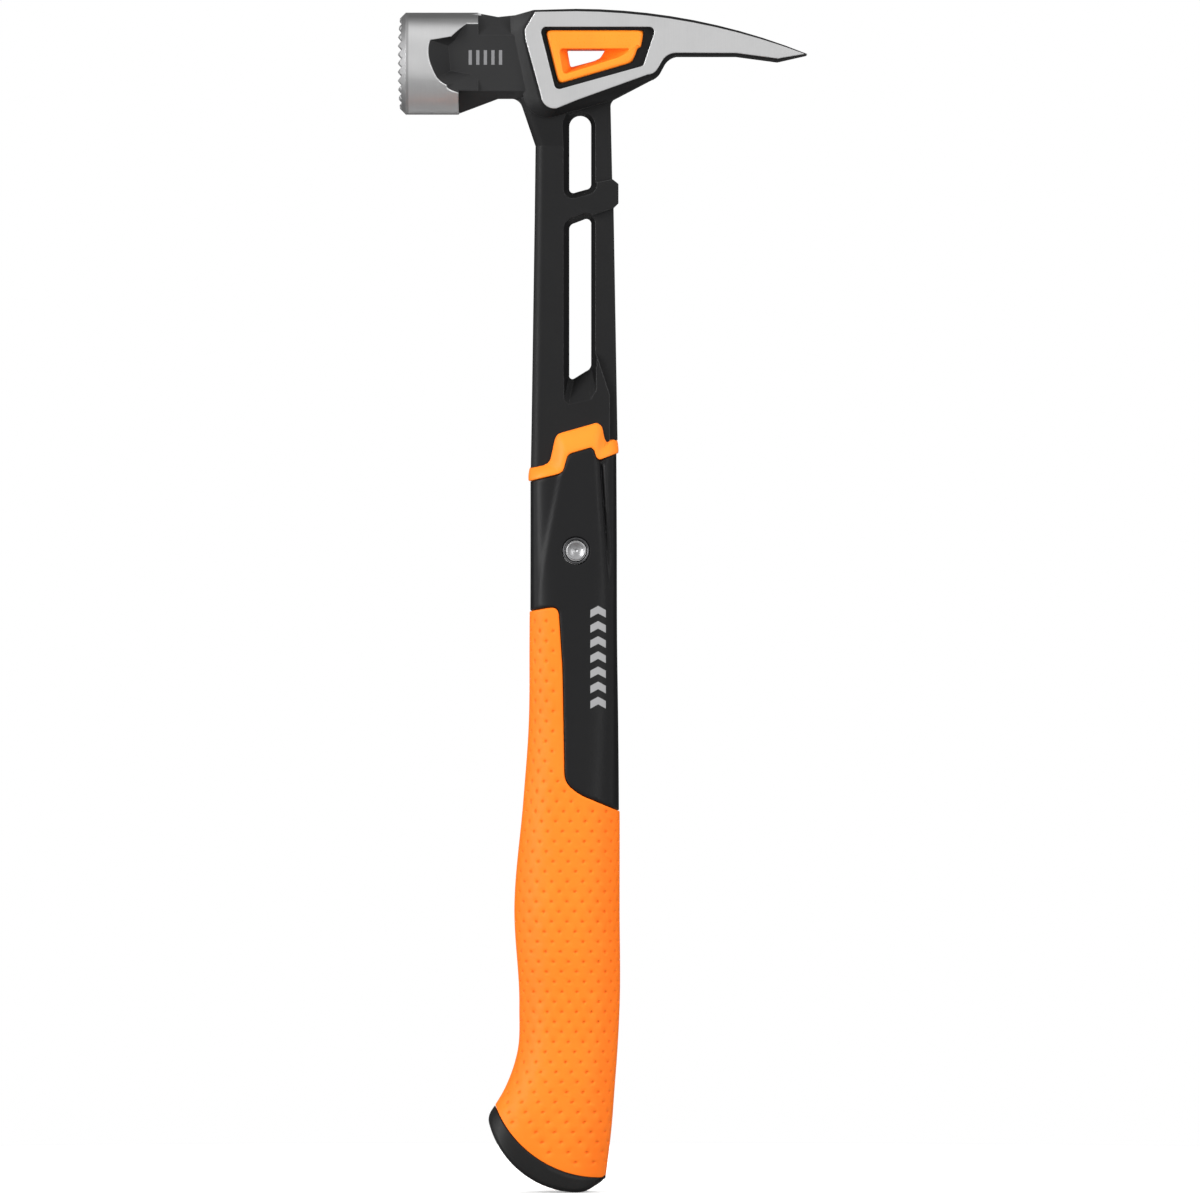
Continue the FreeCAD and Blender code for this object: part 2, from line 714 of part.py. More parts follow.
def make_zones():
    outer = butt_arc("butt_radius", "butt_middle", 0.0, -30.9, SIZES["butt_slant_low"])
    inner = butt_arc("cap_radius", "cap_middle", SIZES["cap_thick"], -29.5, 18.0)
    top = cell("grip_top")
    ceiling = 300.0
    side = 60.0
    slant_top = cell("butt_slant_top")
    above_butt = side_zone("above_butt", outer + [
        (cell("butt_slant_rear"), slant_top), (side, slant_top), (side, ceiling),
        (-side, ceiling), (-side, 60.0)])
    above_cap = side_zone("above_cap", inner + [
        (side, 30.0), (side, ceiling), (-side, ceiling), (-side, 60.0)])
    grip_zone = side_zone("grip_zone", [
        (-side, top - 0.2), (-7.6, top + 1.2), ("by", -6.0, top + 0.3), (-5.5, top - 1.5),
        (-4.0, 158.0), (-3.8, 145.5), ("by", -2.6, 140.6), (1.0, 137.2),
        (5.5, 134.7), (side, 114.0), (side, -20.0), (-side, -20.0)])
    below_band = side_zone("below_band",
                           band_line(upper=False)[1:-1]
                           + [(side, 267.0), (side, -20.0), (-side, -20.0), (-side, 231.0)])
    return above_butt, above_cap, grip_zone, below_band


def box(name, x_low, x_high, half, z_low, z_high):
    """Upright block, symmetric about the plane of symmetry."""
    block = doc.addObject("Part::Box", name)
    for prop, size in (("Length", x_high - x_low), ("Width", half * 2), ("Height", z_high - z_low),
                       ("Placement.Base.x", x_low), ("Placement.Base.y", -half),
                       ("Placement.Base.z", z_low)):
        block.setExpression(prop, size.formula)
    return block


def cross_cylinder(name, radius, half):
    """Cylinder across the handle on the pin's axis."""
    rod = doc.addObject("Part::Cylinder", name)
    bind(rod, "Radius", radius)
    bind(rod, "Height", half * 2)
    turn = FreeCAD.Rotation(FreeCAD.Vector(1, 0, 0), -90.0)
    rod.Placement = FreeCAD.Placement(FreeCAD.Vector(), turn)
    rod.setExpression("Placement.Base.y", (-half).formula)
    rod.setExpression("Placement.Base.z", cell("pin_height").formula)
    return rod


def tang_block(name, skin):
    return box(name, -cell("tang_front") - skin, cell("tang_rear") + skin,
               cell("tang_half") + skin, cell("tang_low") - skin, cell("band_front") + 20.0)


def make_handle():
    all_stations = list(STATIONS)
    form = handle_form("handle_form", all_stations, 0.0)
    core = handle_form("core_form", all_stations[2:], cell("grip_skin"))
    above_butt, above_cap, grip_zone, below_band = make_zones()

    body = boolean("Common", "handle_body", form, above_butt)
    whole = boolean("Common", "handle_above_cap", body, above_cap)
    cap = boolean("Cut", "butt_cap", body, above_cap)
    grip_block = boolean("Common", "grip_block", whole, grip_zone)
    grip = boolean("Cut", "soft_grip", grip_block, core)

    tube_hole = cross_cylinder("tube_hole", cell("tube_radius"), cell("pin_half") * 1.5)
    wall = cell("sleeve_wall")
    sleeve_space = tang_block("sleeve_space", wall)
    shell_block = boolean("Cut", "shell_block", whole, grip)
    shell_trimmed = boolean("Common", "shell_trimmed", shell_block, below_band)
    shell_hollow = boolean("Cut", "shell_hollow", shell_trimmed, sleeve_space)
    shell = boolean("Cut", "handle_shell", shell_hollow, tube_hole)
    return grip, cap, shell, below_band


def make_sleeve(below_band):
    """Elastomer round the tang, widening to the zig-zag band between forging and shell."""
    wall = cell("sleeve_wall")
    upper = band_line(upper=True)
    lower = band_line(upper=False)
    band_block = side_zone("band_block", upper + lower[::-1])
    band_block.setExpression("LengthFwd", (cell("band_half") * 2).formula)
    tube = tang_block("sleeve_tube", wall)
    tube_low = boolean("Common", "sleeve_below_band", tube, below_band)
    blank = join("sleeve_blank", [band_block, tube_low])
    tang_space = tang_block("tang_space", 0.0)
    lined = boolean("Cut", "sleeve_lined", blank, tang_space)
    ring = cross_cylinder("ring_outer", cell("tang_bore"), cell("tang_half"))
    ringed = join("sleeve_ringed", [lined, ring])
    ring_hole = cross_cylinder("ring_hole", cell("tube_radius"), cell("pin_half") * 1.5)
    return boolean("Cut", "isolation_sleeve", ringed, ring_hole)


def make_pin():
    """Pin with a dished end on both sides, inside its tube."""
    half = cell("pin_half")
    radius = cell("pin_radius")
    body = new_body("cross_pin")
    profile = sketch_in(body, "pin_profile", "XY_Plane", [
        (0.0, -(half - cell("pin_dish"))), (radius * 0.35, -(half - cell("pin_dish") * 0.8)),
        (radius * 0.85, -half), (radius, -(half - 0.4)), (radius, half - 0.4),
        (radius * 0.85, half), (radius * 0.35, half - cell("pin_dish") * 0.8),
        (0.0, half - cell("pin_dish"))], offset=cell("pin_height"))
    pin = body.newObject("PartDesign::Revolution", "pin")
    pin.Profile = profile
    pin.ReferenceAxis = (profile, ["V_Axis"])
    pin.Angle = 360.0

    outer = cross_cylinder("tube_outer", cell("tube_radius"), half)
    bore = cross_cylinder("tube_bore_hole", cell("tube_bore"), half)
    boolean("Cut", "pin_sleeve", outer, bore)


make_forging()
make_insert()
grip, cap, shell, below_band = make_handle()
make_sleeve(below_band)
make_pin()
doc.recompute()

NODES = ("forged_head", "window_insert", "isolation_sleeve", "handle_shell", "soft_grip",
         "butt_cap", "cross_pin", "pin_sleeve")

for item in doc.Objects:
    if "Invalid" in item.State or "Error" in item.State:
        raise RuntimeError("%s failed: %s" % (item.Label, item.getStatusString()))

pieces = {}
for node in NODES:
    item = doc.getObject(node)
    item.Label = node
    shape = item.Shape
    if shape.isNull() or not shape.isValid():
        raise RuntimeError("%s has no valid shape" % node)
    pieces[node] = shape
    print(node, round(shape.Volume), len(shape.Solids), shape.optimalBoundingBox())

os.makedirs("parts", exist_ok=True)
for node, shape in pieces.items():
    shape.exportStep(os.path.join("parts", node + ".step"))
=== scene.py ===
import math

import bmesh
import bpy
import numpy as np
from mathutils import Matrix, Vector, geometry


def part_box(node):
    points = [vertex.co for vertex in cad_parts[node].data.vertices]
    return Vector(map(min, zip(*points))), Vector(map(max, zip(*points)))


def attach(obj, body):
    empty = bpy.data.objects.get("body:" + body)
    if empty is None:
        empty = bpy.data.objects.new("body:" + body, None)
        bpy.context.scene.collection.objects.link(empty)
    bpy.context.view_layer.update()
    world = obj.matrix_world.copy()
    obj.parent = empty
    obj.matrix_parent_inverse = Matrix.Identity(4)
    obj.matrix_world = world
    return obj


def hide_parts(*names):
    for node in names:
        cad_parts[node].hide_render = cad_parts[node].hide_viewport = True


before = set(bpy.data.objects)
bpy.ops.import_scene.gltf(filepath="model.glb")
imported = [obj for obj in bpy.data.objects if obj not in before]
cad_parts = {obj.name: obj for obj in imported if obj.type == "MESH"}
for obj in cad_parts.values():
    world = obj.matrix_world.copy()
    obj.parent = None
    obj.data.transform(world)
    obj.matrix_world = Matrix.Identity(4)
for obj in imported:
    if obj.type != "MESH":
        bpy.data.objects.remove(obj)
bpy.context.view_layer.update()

# Claw hammer: the forging is the CAD node. The window insert, the pin, its tube and the handle are built
# here. The handle's surface is one skin: (along, height) on it is a distance from the front centre line,
# scaled to GIRTH at every height, and a height above the butt. Lengths are millimetres until a mesh
# is made, then metres. X runs from the striking face (-) to the claw (+), and the near side is -Y.

MM = 0.001
BODY = "root"

# ---------------- sizes taken from the frame


def low(node):
    """A CAD node's lowest corner in millimetres."""
    return np.array(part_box(node)[0]) / MM


def high(node):
    """A CAD node's highest corner in millimetres."""
    return np.array(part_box(node)[1]) / MM


PIN_HEIGHT = (low("cross_pin")[2] + high("cross_pin")[2]) / 2
PIN_HALF = high("cross_pin")[1]
PIN_RADIUS = high("cross_pin")[0]
TUBE_RADIUS = high("pin_sleeve")[0]
BAND_TOP = high("isolation_sleeve")[2]
BAND_FRONT = BAND_TOP - 15.2            # front end of the zig-zag band's upper edge
GRIP_TOP = high("soft_grip")[2] - 1.4   # front end of the grip's upper edge
BELL_AXIS = high("forged_head")[2] - 18.5
PANEL_HALF = high("window_insert")[1] + 1.4     # half the depth over the cheek's two panels
FACE_X = low("forged_head")[0] + 3.7            # root of the milled teeth

# ---------------- the handle's form

GIRTH = 48.0            # nominal distance round the handle from the front centre line to the rear one
# height, reach to the front, reach to the rear, half depth, squareness of the section
STATIONS = (
    (262.0, 15.9, 14.1, 10.8, 4.6),
    (225.0, 15.9, 14.3, 11.6, 4.2),
    (190.0, 16.0, 14.4, 12.2, 3.5),
    (160.0, 16.3, 14.8, 12.8, 3.0),
    (135.0, 18.1, 15.0, 13.6, 2.7),
    (98.0, 21.2, 15.0, 14.8, 2.5),
    (64.0, 19.5, 15.0, 14.0, 2.5),
    (48.0, 20.2, 14.2, 14.2, 2.5),
    (36.0, 24.3, 13.3, 14.8, 2.6),
    (24.0, 31.5, 12.4, 15.4, 2.8),
    (-4.0, 44.0, 9.0, 15.4, 3.0),
)
FIRST_ROW = STATIONS[-1][0]
LAST_ROW = STATIONS[0][0]
ROW_STEP = 1.0
U_STEPS = 400           # steps round half a section
SECTION_STEPS = 2400    # finer steps that those are measured on


def smooth_profile(height):
    """Front reach, rear reach, half depth and squareness at a height, on a smooth curve."""
    knots = np.array(STATIONS[::-1])
    levels, values = knots[:, 0], knots[:, 1:]
    slopes = np.gradient(values, levels, axis=0)
    i = int(np.clip(np.searchsorted(levels, height) - 1, 0, len(levels) - 2))
    step = levels[i + 1] - levels[i]
    s = (height - levels[i]) / step
    start = (1 + 2 * s) * (1 - s) ** 2 * values[i] + s * (1 - s) ** 2 * step * slopes[i]
    end = s * s * (3 - 2 * s) * values[i + 1] + s * s * (s - 1) * step * slopes[i + 1]
    return start + end


def half_section(front, rear, half, power):
    """Points of one half of a section, evenly spaced from the front centre line to the rear one."""
    angle = np.linspace(0, math.pi, SECTION_STEPS + 1)
    c, s = np.cos(angle), np.sin(angle)
    x = (rear - front) / 2 - (rear + front) / 2 * np.sign(c) * np.abs(c) ** (2 / power)
    y = -half * np.abs(s) ** (2 / power)
    length = np.concatenate([[0], np.cumsum(np.hypot(np.diff(x), np.diff(y)))])
    even = np.linspace(0, length[-1], U_STEPS + 1)
    return np.interp(even, length, x), np.interp(even, length, y)


class Skin:
    """The handle's outer surface as a table of sections."""

    def __init__(self, shrink=0.0, reach=0.0):
        """shrink narrows the half depth, reach shortens the front and the rear."""
        self.levels = np.arange(FIRST_ROW, LAST_ROW + ROW_STEP, ROW_STEP)
        rows = []
        for level in self.levels:
            front, rear, half, power = smooth_profile(level)
            rows.append(half_section(front - reach, rear - reach, half - shrink, power))
        self.x = np.array([row[0] for row in rows])
        self.y = np.array([row[1] for row in rows])
        x_up, x_round = np.gradient(self.x, ROW_STEP, 1.0 / U_STEPS)
        y_up, y_round = np.gradient(self.y, ROW_STEP, 1.0 / U_STEPS)
        normal = np.stack([y_round, -x_round, x_round * y_up - y_round * x_up], axis=-1)
        self.normal = normal / np.linalg.norm(normal, axis=-1, keepdims=True)

    def look_up(self, table, along, height):
        """Values of a table of the skin at (along, height), between its rows and columns."""
        column = np.clip(np.asarray(along) / GIRTH, 0, 1) * U_STEPS
        row = np.clip((np.asarray(height) - FIRST_ROW) / ROW_STEP, 0, len(self.levels) - 1)
        i = np.minimum(row.astype(int), len(self.levels) - 2)
        j = np.minimum(column.astype(int), U_STEPS - 1)
        a, b = row - i, column - j
        if table.ndim == 3:
            a, b = a[..., None], b[..., None]
        lower = table[i, j] * (1 - b) + table[i, j + 1] * b
        upper = table[i + 1, j] * (1 - b) + table[i + 1, j + 1] * b
        return lower * (1 - a) + upper * a

    def point(self, along, height, lift=0.0):
        """Points on the surface, raised by lift; those on a centre line stay in the middle plane."""
        along, height = np.asarray(along, float), np.asarray(height, float)
        x, y = self.look_up(self.x, along, height), self.look_up(self.y, along, height)
        out = np.stack([x, y, height], axis=-1)
        out += np.asarray(lift)[..., None] * self.look_up(self.normal, along, height)
        edge = (along < 1e-4) | (along > GIRTH - 1e-4)
        out[..., 1] = np.where(edge, 0.0, out[..., 1])
        return out

    def along_at(self, x, height):
        """How far round the surface has this X at this height."""
        row = np.clip((height - FIRST_ROW) / ROW_STEP, 0, len(self.levels) - 1.001)
        i = int(row)
        level = self.x[i] * (1 - (row - i)) + self.x[i + 1] * (row - i)
        return float(np.interp(x, level, np.linspace(0, GIRTH, U_STEPS + 1)))


SKIN = Skin()

# ---------------- lines on the skin


CORNER_STEPS = 5        # spans of the small curve at a corner


def corner_curve(before, corner, after, radius, crowding=2.1):
    """Points of the small curve that replaces a corner; it takes up at most 1 / crowding of a side."""
    back, ahead = before - corner, after - corner
    reach = min(radius, np.linalg.norm(back) / crowding, np.linalg.norm(ahead) / crowding)
    start = corner + back / np.linalg.norm(back) * reach
    end = corner + ahead / np.linalg.norm(ahead) * reach
    shares = np.linspace(0, 1, CORNER_STEPS + 1)
    return [(1 - s) ** 2 * start + 2 * s * (1 - s) * corner + s * s * end for s in shares]


def rounded(points, radius):
    """The points with every inner corner replaced by a small curve."""
    points = [np.array(p, float) for p in points]
    out = [points[0]]
    for before, corner, after in zip(points, points[1:], points[2:]):
        out += corner_curve(before, corner, after, radius)
    out.append(points[-1])
    return out


def skin_line(points, radius, end_steps=14, span_steps=5):
    """A side-view line as points (along, height), from the front centre line to the rear one.

    The first and last spans are cut evenly round the handle, because the side view crowds them."""
    corners = rounded(points, radius)
    out = []
    for index, (a, b) in enumerate(zip(corners, corners[1:])):
        first, last = index == 0, index == len(corners) - 2
        straight = index % (CORNER_STEPS + 1) == 0
        steps = end_steps if first or last else span_steps if straight else 1
        start = 0.0 if first else SKIN.along_at(*a)
        end = GIRTH if last else SKIN.along_at(*b)
        for k in range(steps):
            s = k / steps
            if first or last:
                along = start + (end - start) * s
                x = float(SKIN.look_up(SKIN.x, along, a[1]))
                t = np.clip((x - a[0]) / (b[0] - a[0]), 0, 1)
                out.append((along, a[1] + (b[1] - a[1]) * t))
            else:
                p = a + (b - a) * s
                out.append((SKIN.along_at(*p), p[1]))
    out.append((GIRTH, corners[-1][1]))
    return np.array(out)


def even(line, spacing):
    """The line cut again into equal steps of about this length."""
    length = np.concatenate([[0], np.cumsum(np.linalg.norm(np.diff(line, axis=0), axis=1))])
    count = max(2, int(round(length[-1] / spacing)) + 1)
    places = np.linspace(0, length[-1], count)
    return np.stack([np.interp(places, length, line[:, i]) for i in range(2)], axis=1)


def beside(line, distance):
    """The line moved sideways on the skin, up for a positive distance."""
    step = np.gradient(line, axis=0)
    step /= np.linalg.norm(step, axis=1, keepdims=True)
    moved = line + distance * np.stack([-step[:, 1], step[:, 0]], axis=1)
    moved[0, 0], moved[-1, 0] = 0.0, GIRTH
    moved[:, 0] = np.clip(moved[:, 0], 0.0, GIRTH)
    return moved


ARC_MIDDLE = math.radians(-100)     # an angle at which the butt's arcs are well inside the handle
ARC_STEP = math.radians(0.02)


def arc_ends(inside):
    """Angles at which an arc leaves the handle's side view, at the front and at the rear."""
    ends = []
    for turn in (-1, 1):
        angle = ARC_MIDDLE
        while inside(angle):
            angle += turn * ARC_STEP
        ends.append(angle)
    return ends


def side_arc(middle, height, radius, count=160):
    """Where an upright arc crosses the side of the handle, as points (along, height)."""

    def place(angle):
        return middle + radius * math.cos(angle), height + radius * math.sin(angle)

    def inside(angle):
        x, z = place(angle)
        front, rear = smooth_profile(z)[:2]
        return -front <= x <= rear

    ends = arc_ends(inside)
    out = []
    for k in range(count + 1):
        angle = ends[0] + (ends[1] - ends[0]) * (1 - math.cos(math.pi * k / count)) / 2
        x, z = place(angle)
        out.append((SKIN.along_at(x, z), z))
    out[0], out[-1] = (0.0, out[0][1]), (GIRTH, out[-1][1])
    return np.array(out)


# ---------------- meshes


def make_piece(name, points, faces, replaces=(), hollow=None):
    """A closed mesh from points in millimetres, riding on the hammer's one body.

    hollow tells the material how deep in a dimple each point lies, from 0 to 1, for the painted shade it
    gets there."""
    mesh = bpy.data.meshes.new(name)
    mesh.from_pydata([tuple(p * MM) for p in np.asarray(points)], [], [list(map(int, f)) for f in faces])
    if hollow is not None:
        mesh.attributes.new("hollow", "FLOAT", "POINT").data.foreach_set("value", hollow)
    work = bmesh.new()
    work.from_mesh(mesh)
    bmesh.ops.remove_doubles(work, verts=work.verts, dist=1e-7)
    bmesh.ops.dissolve_degenerate(work, edges=work.edges, dist=1e-8)
    bmesh.ops.recalc_face_normals(work, faces=work.faces)
    work.to_mesh(mesh)
    work.free()
    for polygon in mesh.polygons:
        polygon.use_smooth = True
    piece = bpy.data.objects.new(name, mesh)
    bpy.context.scene.collection.objects.link(piece)
    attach(piece, BODY)
    if replaces:
        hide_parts(*replaces)
    return piece


def mirrored(points, faces, values=None):
    """Both halves of a shape whose points with Y = 0 lie on the middle plane, and the points' values."""
    points = np.asarray(points)
    twin = np.arange(len(points))
    off = np.abs(points[:, 1]) > 1e-6
    twin[off] = len(points) + np.arange(off.sum())
    other = points[off] * np.array([1.0, -1.0, 1.0])
    flipped = [[int(twin[i]) for i in reversed(face)] for face in faces]
    if values is not None:
        values = np.concatenate([values, values[off]])
    return np.vstack([points, other]), list(faces) + flipped, values


def triangles(outline, hole, inside):
    """Triangles over the outline, but not its convex hole, as indices into outline, hole, inside."""
    flat = np.vstack([outline, hole, inside])
    edges = [(i, (i + 1) % len(outline)) for i in range(len(outline))]
    edges += [(len(outline) + i, len(outline) + (i + 1) % len(hole)) for i in range(len(hole))]
    result = geometry.delaunay_2d_cdt([Vector(p) for p in flat], edges, [], 1, 1e-4)
    faces = [[result[3][i][0] for i in face] for face in result[2]]
    first, last = len(outline), len(outline) + len(hole)
    return [face for face in faces if not all(first <= i < last for i in face)]


def clear_of(points, others, gap):
    """The points that are at least gap away from all the others."""
    if len(others) == 0:
        return points
    keep = np.ones(len(points), bool)
    for start in range(0, len(others), 500):
        block = others[start:start + 500]
        near = np.linalg.norm(points[:, None, :] - block[None], axis=2).min(axis=1)
        keep &= near >= gap
    return points[keep]


def staggered(spacing, low_height, high_height):
    """A staggered grid over the whole skin."""
    rows = np.arange(low_height, high_height, spacing * 0.866)
    out = []
    for index, row in enumerate(rows):
        shift = spacing / 2 if index % 2 else 0.0
        out += [(a, row) for a in np.arange(shift + spacing / 2, GIRTH - spacing * 0.3, spacing)]
    return np.array(out)


INNER_SPACING = 3.5     # between the points of a piece's hidden inner face
INNER_CLEAR = 2.0       # and from those to its rims
LINE_CLEAR = 0.45       # from the grid's points to the rims and rings, as a share of the grid's spacing
FEATURE_CLEAR = 0.3     # and from them to the features


def skin_piece(name, rims, spacing, thickness, replaces, features=(), relief=None, holes=()):
    """A closed piece of the skin between two lines from the front centre line to the rear one.

    rims holds the upper and the lower line, each with its round as (distance from the line, drop).
    features are extra points (along, height, lift), relief gives any point's extra lift from its
    place, and holes are the loops round one hole, its rim first, as (points, drop)."""
    (top, top_edge), (bottom, bottom_edge) = rims
    front = np.stack([np.zeros(2), [bottom[0, 1], top[0, 1]]], axis=1)
    rear = np.stack([np.full(2, GIRTH), [top[-1, 1], bottom[-1, 1]]], axis=1)
    front, rear = even(front, spacing)[1:-1], even(rear, spacing)[1:-1]
    outline = np.vstack([top, rear, bottom[::-1], front])
    lift = [np.full(len(top), -top_edge[0][1]), np.zeros(len(rear)),
            np.full(len(bottom), -bottom_edge[0][1]), np.zeros(len(front))]
    hole = holes[0][0] if holes else np.zeros((0, 2))
    lift.append(np.full(len(hole), -holes[0][1] if holes else 0.0))
    rings = [np.zeros((0, 2))]
    for line, edge, side in ((top, top_edge, -1), (bottom, bottom_edge, 1)):
        for distance, drop in edge[1:]:
            rings.append(beside(line, side * distance)[1:-1])
            lift.append(np.full(len(rings[-1]), -drop))
    for loop, drop in holes[1:]:
        rings.append(loop)
        lift.append(np.full(len(loop), -drop))
    features = np.array(features, float).reshape(-1, 3)
    grid = staggered(spacing, bottom[:, 1].min(), top[:, 1].max())
    grid = clear_of(grid, np.vstack(rings + [outline, hole]), spacing * LINE_CLEAR)
    grid = clear_of(grid, features[:, :2], spacing * FEATURE_CLEAR)
    core = hole.mean(axis=0)[None] if holes else np.zeros((0, 2))
    core_radius = np.linalg.norm(hole - core, axis=1).max() if holes else 0.0
    grid = clear_of(grid, core, core_radius)
    inside = np.vstack(rings + [features[:, :2], grid])
    first_feature = sum(len(part) for part in lift)
    lift = np.concatenate(lift + [features[:, 2], np.zeros(len(grid))])
    outer_faces = triangles(outline, hole, inside)
    flat = np.vstack([outline, hole, inside])
    if relief is not None:
        lift = lift + relief(flat)
    outer = SKIN.point(flat[:, 0], flat[:, 1], lift)
    hollow = np.zeros(len(flat))
    if features[:, 2].any():
        hollow[first_feature:first_feature + len(features)] = features[:, 2] / features[:, 2].min()
    coarse = staggered(INNER_SPACING, bottom[:, 1].min(), top[:, 1].max())
    coarse = clear_of(coarse, np.vstack([outline, hole]), INNER_CLEAR)
    coarse = clear_of(coarse, core, core_radius)
    inner_faces = triangles(outline, hole, coarse)
    flat = np.vstack([outline, hole, coarse])
    inner = SKIN.point(flat[:, 0], flat[:, 1], np.full(len(flat), -thickness))
    count = len(outer)
    faces = outer_faces + [[i + count for i in reversed(face)] for face in inner_faces]
    low_rim = len(top) + len(rear)
    walls = [(i, i + 1) for i in range(len(top) - 1)]
    walls += [(i, i + 1) for i in range(low_rim, low_rim + len(bottom) - 1)]
    walls += [(len(outline) + i, len(outline) + (i + 1) % len(hole)) for i in range(len(hole))]
    faces += [[i, j, j + count, i + count] for i, j in walls]
    hollow = np.append(hollow, np.zeros(len(inner)))
    points, faces, hollow = mirrored(np.vstack([outer, inner]), faces, hollow)
    return make_piece(name, points, faces, replaces, hollow)


# ---------------- lines of the handle

GAP = 0.06              # half the gap between two pieces of the handle
GRIP_SKIN = 2.0         # thickness of the soft grip
SHELL_SKIN = 3.6        # thickness of the shell
TONGUE = 1.0            # how far the shell runs on under its neighbours
TONGUE_DROP = 2.25      # and how far below the skin
# rounds of the pieces' rims, as (distance from the rim, drop below the skin)
ROUND_EDGE = ((0.0, 0.62), (0.08, 0.35), (0.22, 0.14), (0.45, 0.02), (0.7, 0.0))
SMALL_EDGE = ((0.0, 0.26), (0.06, 0.12), (0.16, 0.03), (0.3, 0.0))
TONGUE_EDGE = (
    (0.0, TONGUE_DROP),
    (TONGUE - 0.04, TONGUE_DROP),
    (TONGUE + 0.08, 0.34),
    (TONGUE + 0.18, 0.12),
    (TONGUE + 0.34, 0.0),
)

# side view of the line between grip and shell, from the front to the rear
GRIP_LINE = (
    (-15.9, GRIP_TOP),
    (-6.0, GRIP_TOP + 1.6),
    (-4.6, GRIP_TOP - 20.0),
    (-3.9, 141.0),
    (1.0, 136.8),
    (14.9, 131.2),
)
grip_line = even(skin_line(GRIP_LINE, 3.2), 0.7)

# butt: arcs of the cap's joint and of its outer face, as centre X, centre height and radius
CAP_ARC = (8.8, 44.6, 39.5)
BUTT_ARC = (1.5, 32.6, 32.6)
REAR_SLANT = (3.2, 0.64)        # where the butt turns up to the rear, and how steeply
cap_line = even(side_arc(*CAP_ARC), 0.8)

# zig-zag band, from the front to the rear
BAND_UPPER = tuple((x, BAND_FRONT + z) for x, z in (
    (-15.7, 0.0), (-9.7, 1.1), (-8.5, 2.7), (-7.0, 9.6), (-6.1, 11.4), (7.2, 15.2), (8.7, 14.2),
    (9.6, 9.7), (10.6, 8.5), (14.3, 9.6)))
BAND_LOWER = tuple((x, BAND_FRONT + z) for x, z in (
    (-15.7, -4.5), (-5.8, -2.1), (-4.4, -1.1), (-3.0, 3.9), (-2.0, 4.9), (5.3, 7.0), (6.3, 6.0),
    (7.0, 3.5), (8.2, 2.7), (14.3, 5.1)))
band_upper = beside(skin_line(BAND_UPPER, 0.8), 0.3)
band_lower = skin_line(BAND_LOWER, 1.3)


# ---------------- grip

DIMPLE_ROW = 3.44
DIMPLE_COLUMN = GIRTH / 10
DIMPLE_RINGS = ((0.74, 0.0), (0.56, -0.13), (0.3, -0.42))      # radius and lift
DIMPLE_CLEAR = 1.9      # from a dimple's centre to the grip's rims
LONG_ABOVE = 125.0      # above this height the dimples on the front edge are longer


def dimple_centres():
    """Staggered rows over the grip, clear of its edges."""
    centres = []
    for row, height in enumerate(np.arange(GRIP_TOP - 3.6, 4.0, -DIMPLE_ROW)):
        shift = DIMPLE_COLUMN / 2 if row % 2 else 0.0
        centres += [(along, height) for along in np.arange(shift, GIRTH + 0.01, DIMPLE_COLUMN)]
    centres = np.array(centres)
    top = np.interp(centres[:, 0], grip_line[:, 0], grip_line[:, 1])
    bottom = np.interp(centres[:, 0], cap_line[:, 0], cap_line[:, 1])
    centres = centres[(centres[:, 1] < top) & (centres[:, 1] > bottom)]
    return clear_of(centres, np.vstack([grip_line, cap_line]), DIMPLE_CLEAR)


def dimple_points():
    """The points of every dimple: a centre point first, then its rings."""
    out = []
    for along, height in dimple_centres():
        near_edge = max(0.0, 1 - abs(along - 0.22 * GIRTH) / 4.0)
        stretch = 1.0 + 0.9 * near_edge if height > LONG_ABOVE else 1.0
        out.append((along, height, DIMPLE_RINGS[-1][1]))
        for radius, lift in DIMPLE_RINGS:
            count = 6 if radius == DIMPLE_RINGS[-1][0] else 8
            for k in range(count):
                angle = 2 * math.pi * k / count
                a = along + radius * math.cos(angle)
                z = height + radius * stretch * math.sin(angle)
                if -1e-6 <= a <= GIRTH + 1e-6:
                    out.append((a, z, lift))
    return out


def make_grip():
    """The dimpled grip, from its upper line down to the butt cap."""
    rims = (beside(grip_line, -GAP), ROUND_EDGE), (beside(cap_line, GAP), SMALL_EDGE)
    return skin_piece(
        "soft_grip_skin", rims, 1.9, GRIP_SKIN, ["soft_grip"], dimple_points())


# ---------------- shell

FLANK_RISE = 0.62       # of the raised flank over the skin round it
FLANK_SIDE = 1.3        # width of the flank's slanted sides
SKIN_DROP = 0.25        # of the skin round the flank below the handle's form
CREASE_DEPTH = 1.4
CREASE_BOTTOM = 0.6     # from the crease's front edge to its deepest line
CREASE_WIDTH = 2.0
CREASE_START, CREASE_END = -1.0, 54.0       # below the band's front end
CREASE_STEP = 0.9


def ease(value):
    """A soft step from 0 to 1."""
    value = np.clip(value, 0.0, 1.0)
    return value * value * (3 - 2 * value)


def flank_front(down):
    """X of the flank's front side, this far below the band's front end."""
    return -5.8 - 0.195 * down


def flank_rear(down):
    """X of the flank's rear side, where the crease begins."""
    return 8.2 + 0.072 * down


def shell_relief(flat):
    """The raised flank and the crease behind it: crisp below the band and fading out further down."""
    height = flat[:, 1]
    x = SKIN.look_up(SKIN.x, flat[:, 0], height)
    down = BAND_FRONT - height
    beyond = x - flank_rear(down)
    flank = ease((x - flank_front(down)) / FLANK_SIDE) * ease(-beyond / FLANK_SIDE)
    flank = flank * (1 - ease((down - 12) / 45))
    crease = np.minimum(beyond / CREASE_BOTTOM, (CREASE_WIDTH - beyond) / (CREASE_WIDTH - CREASE_BOTTOM))
    crease = np.clip(crease, 0, 1) * ease((48 - down) / 28)
    return -SKIN_DROP + FLANK_RISE * flank - CREASE_DEPTH * crease


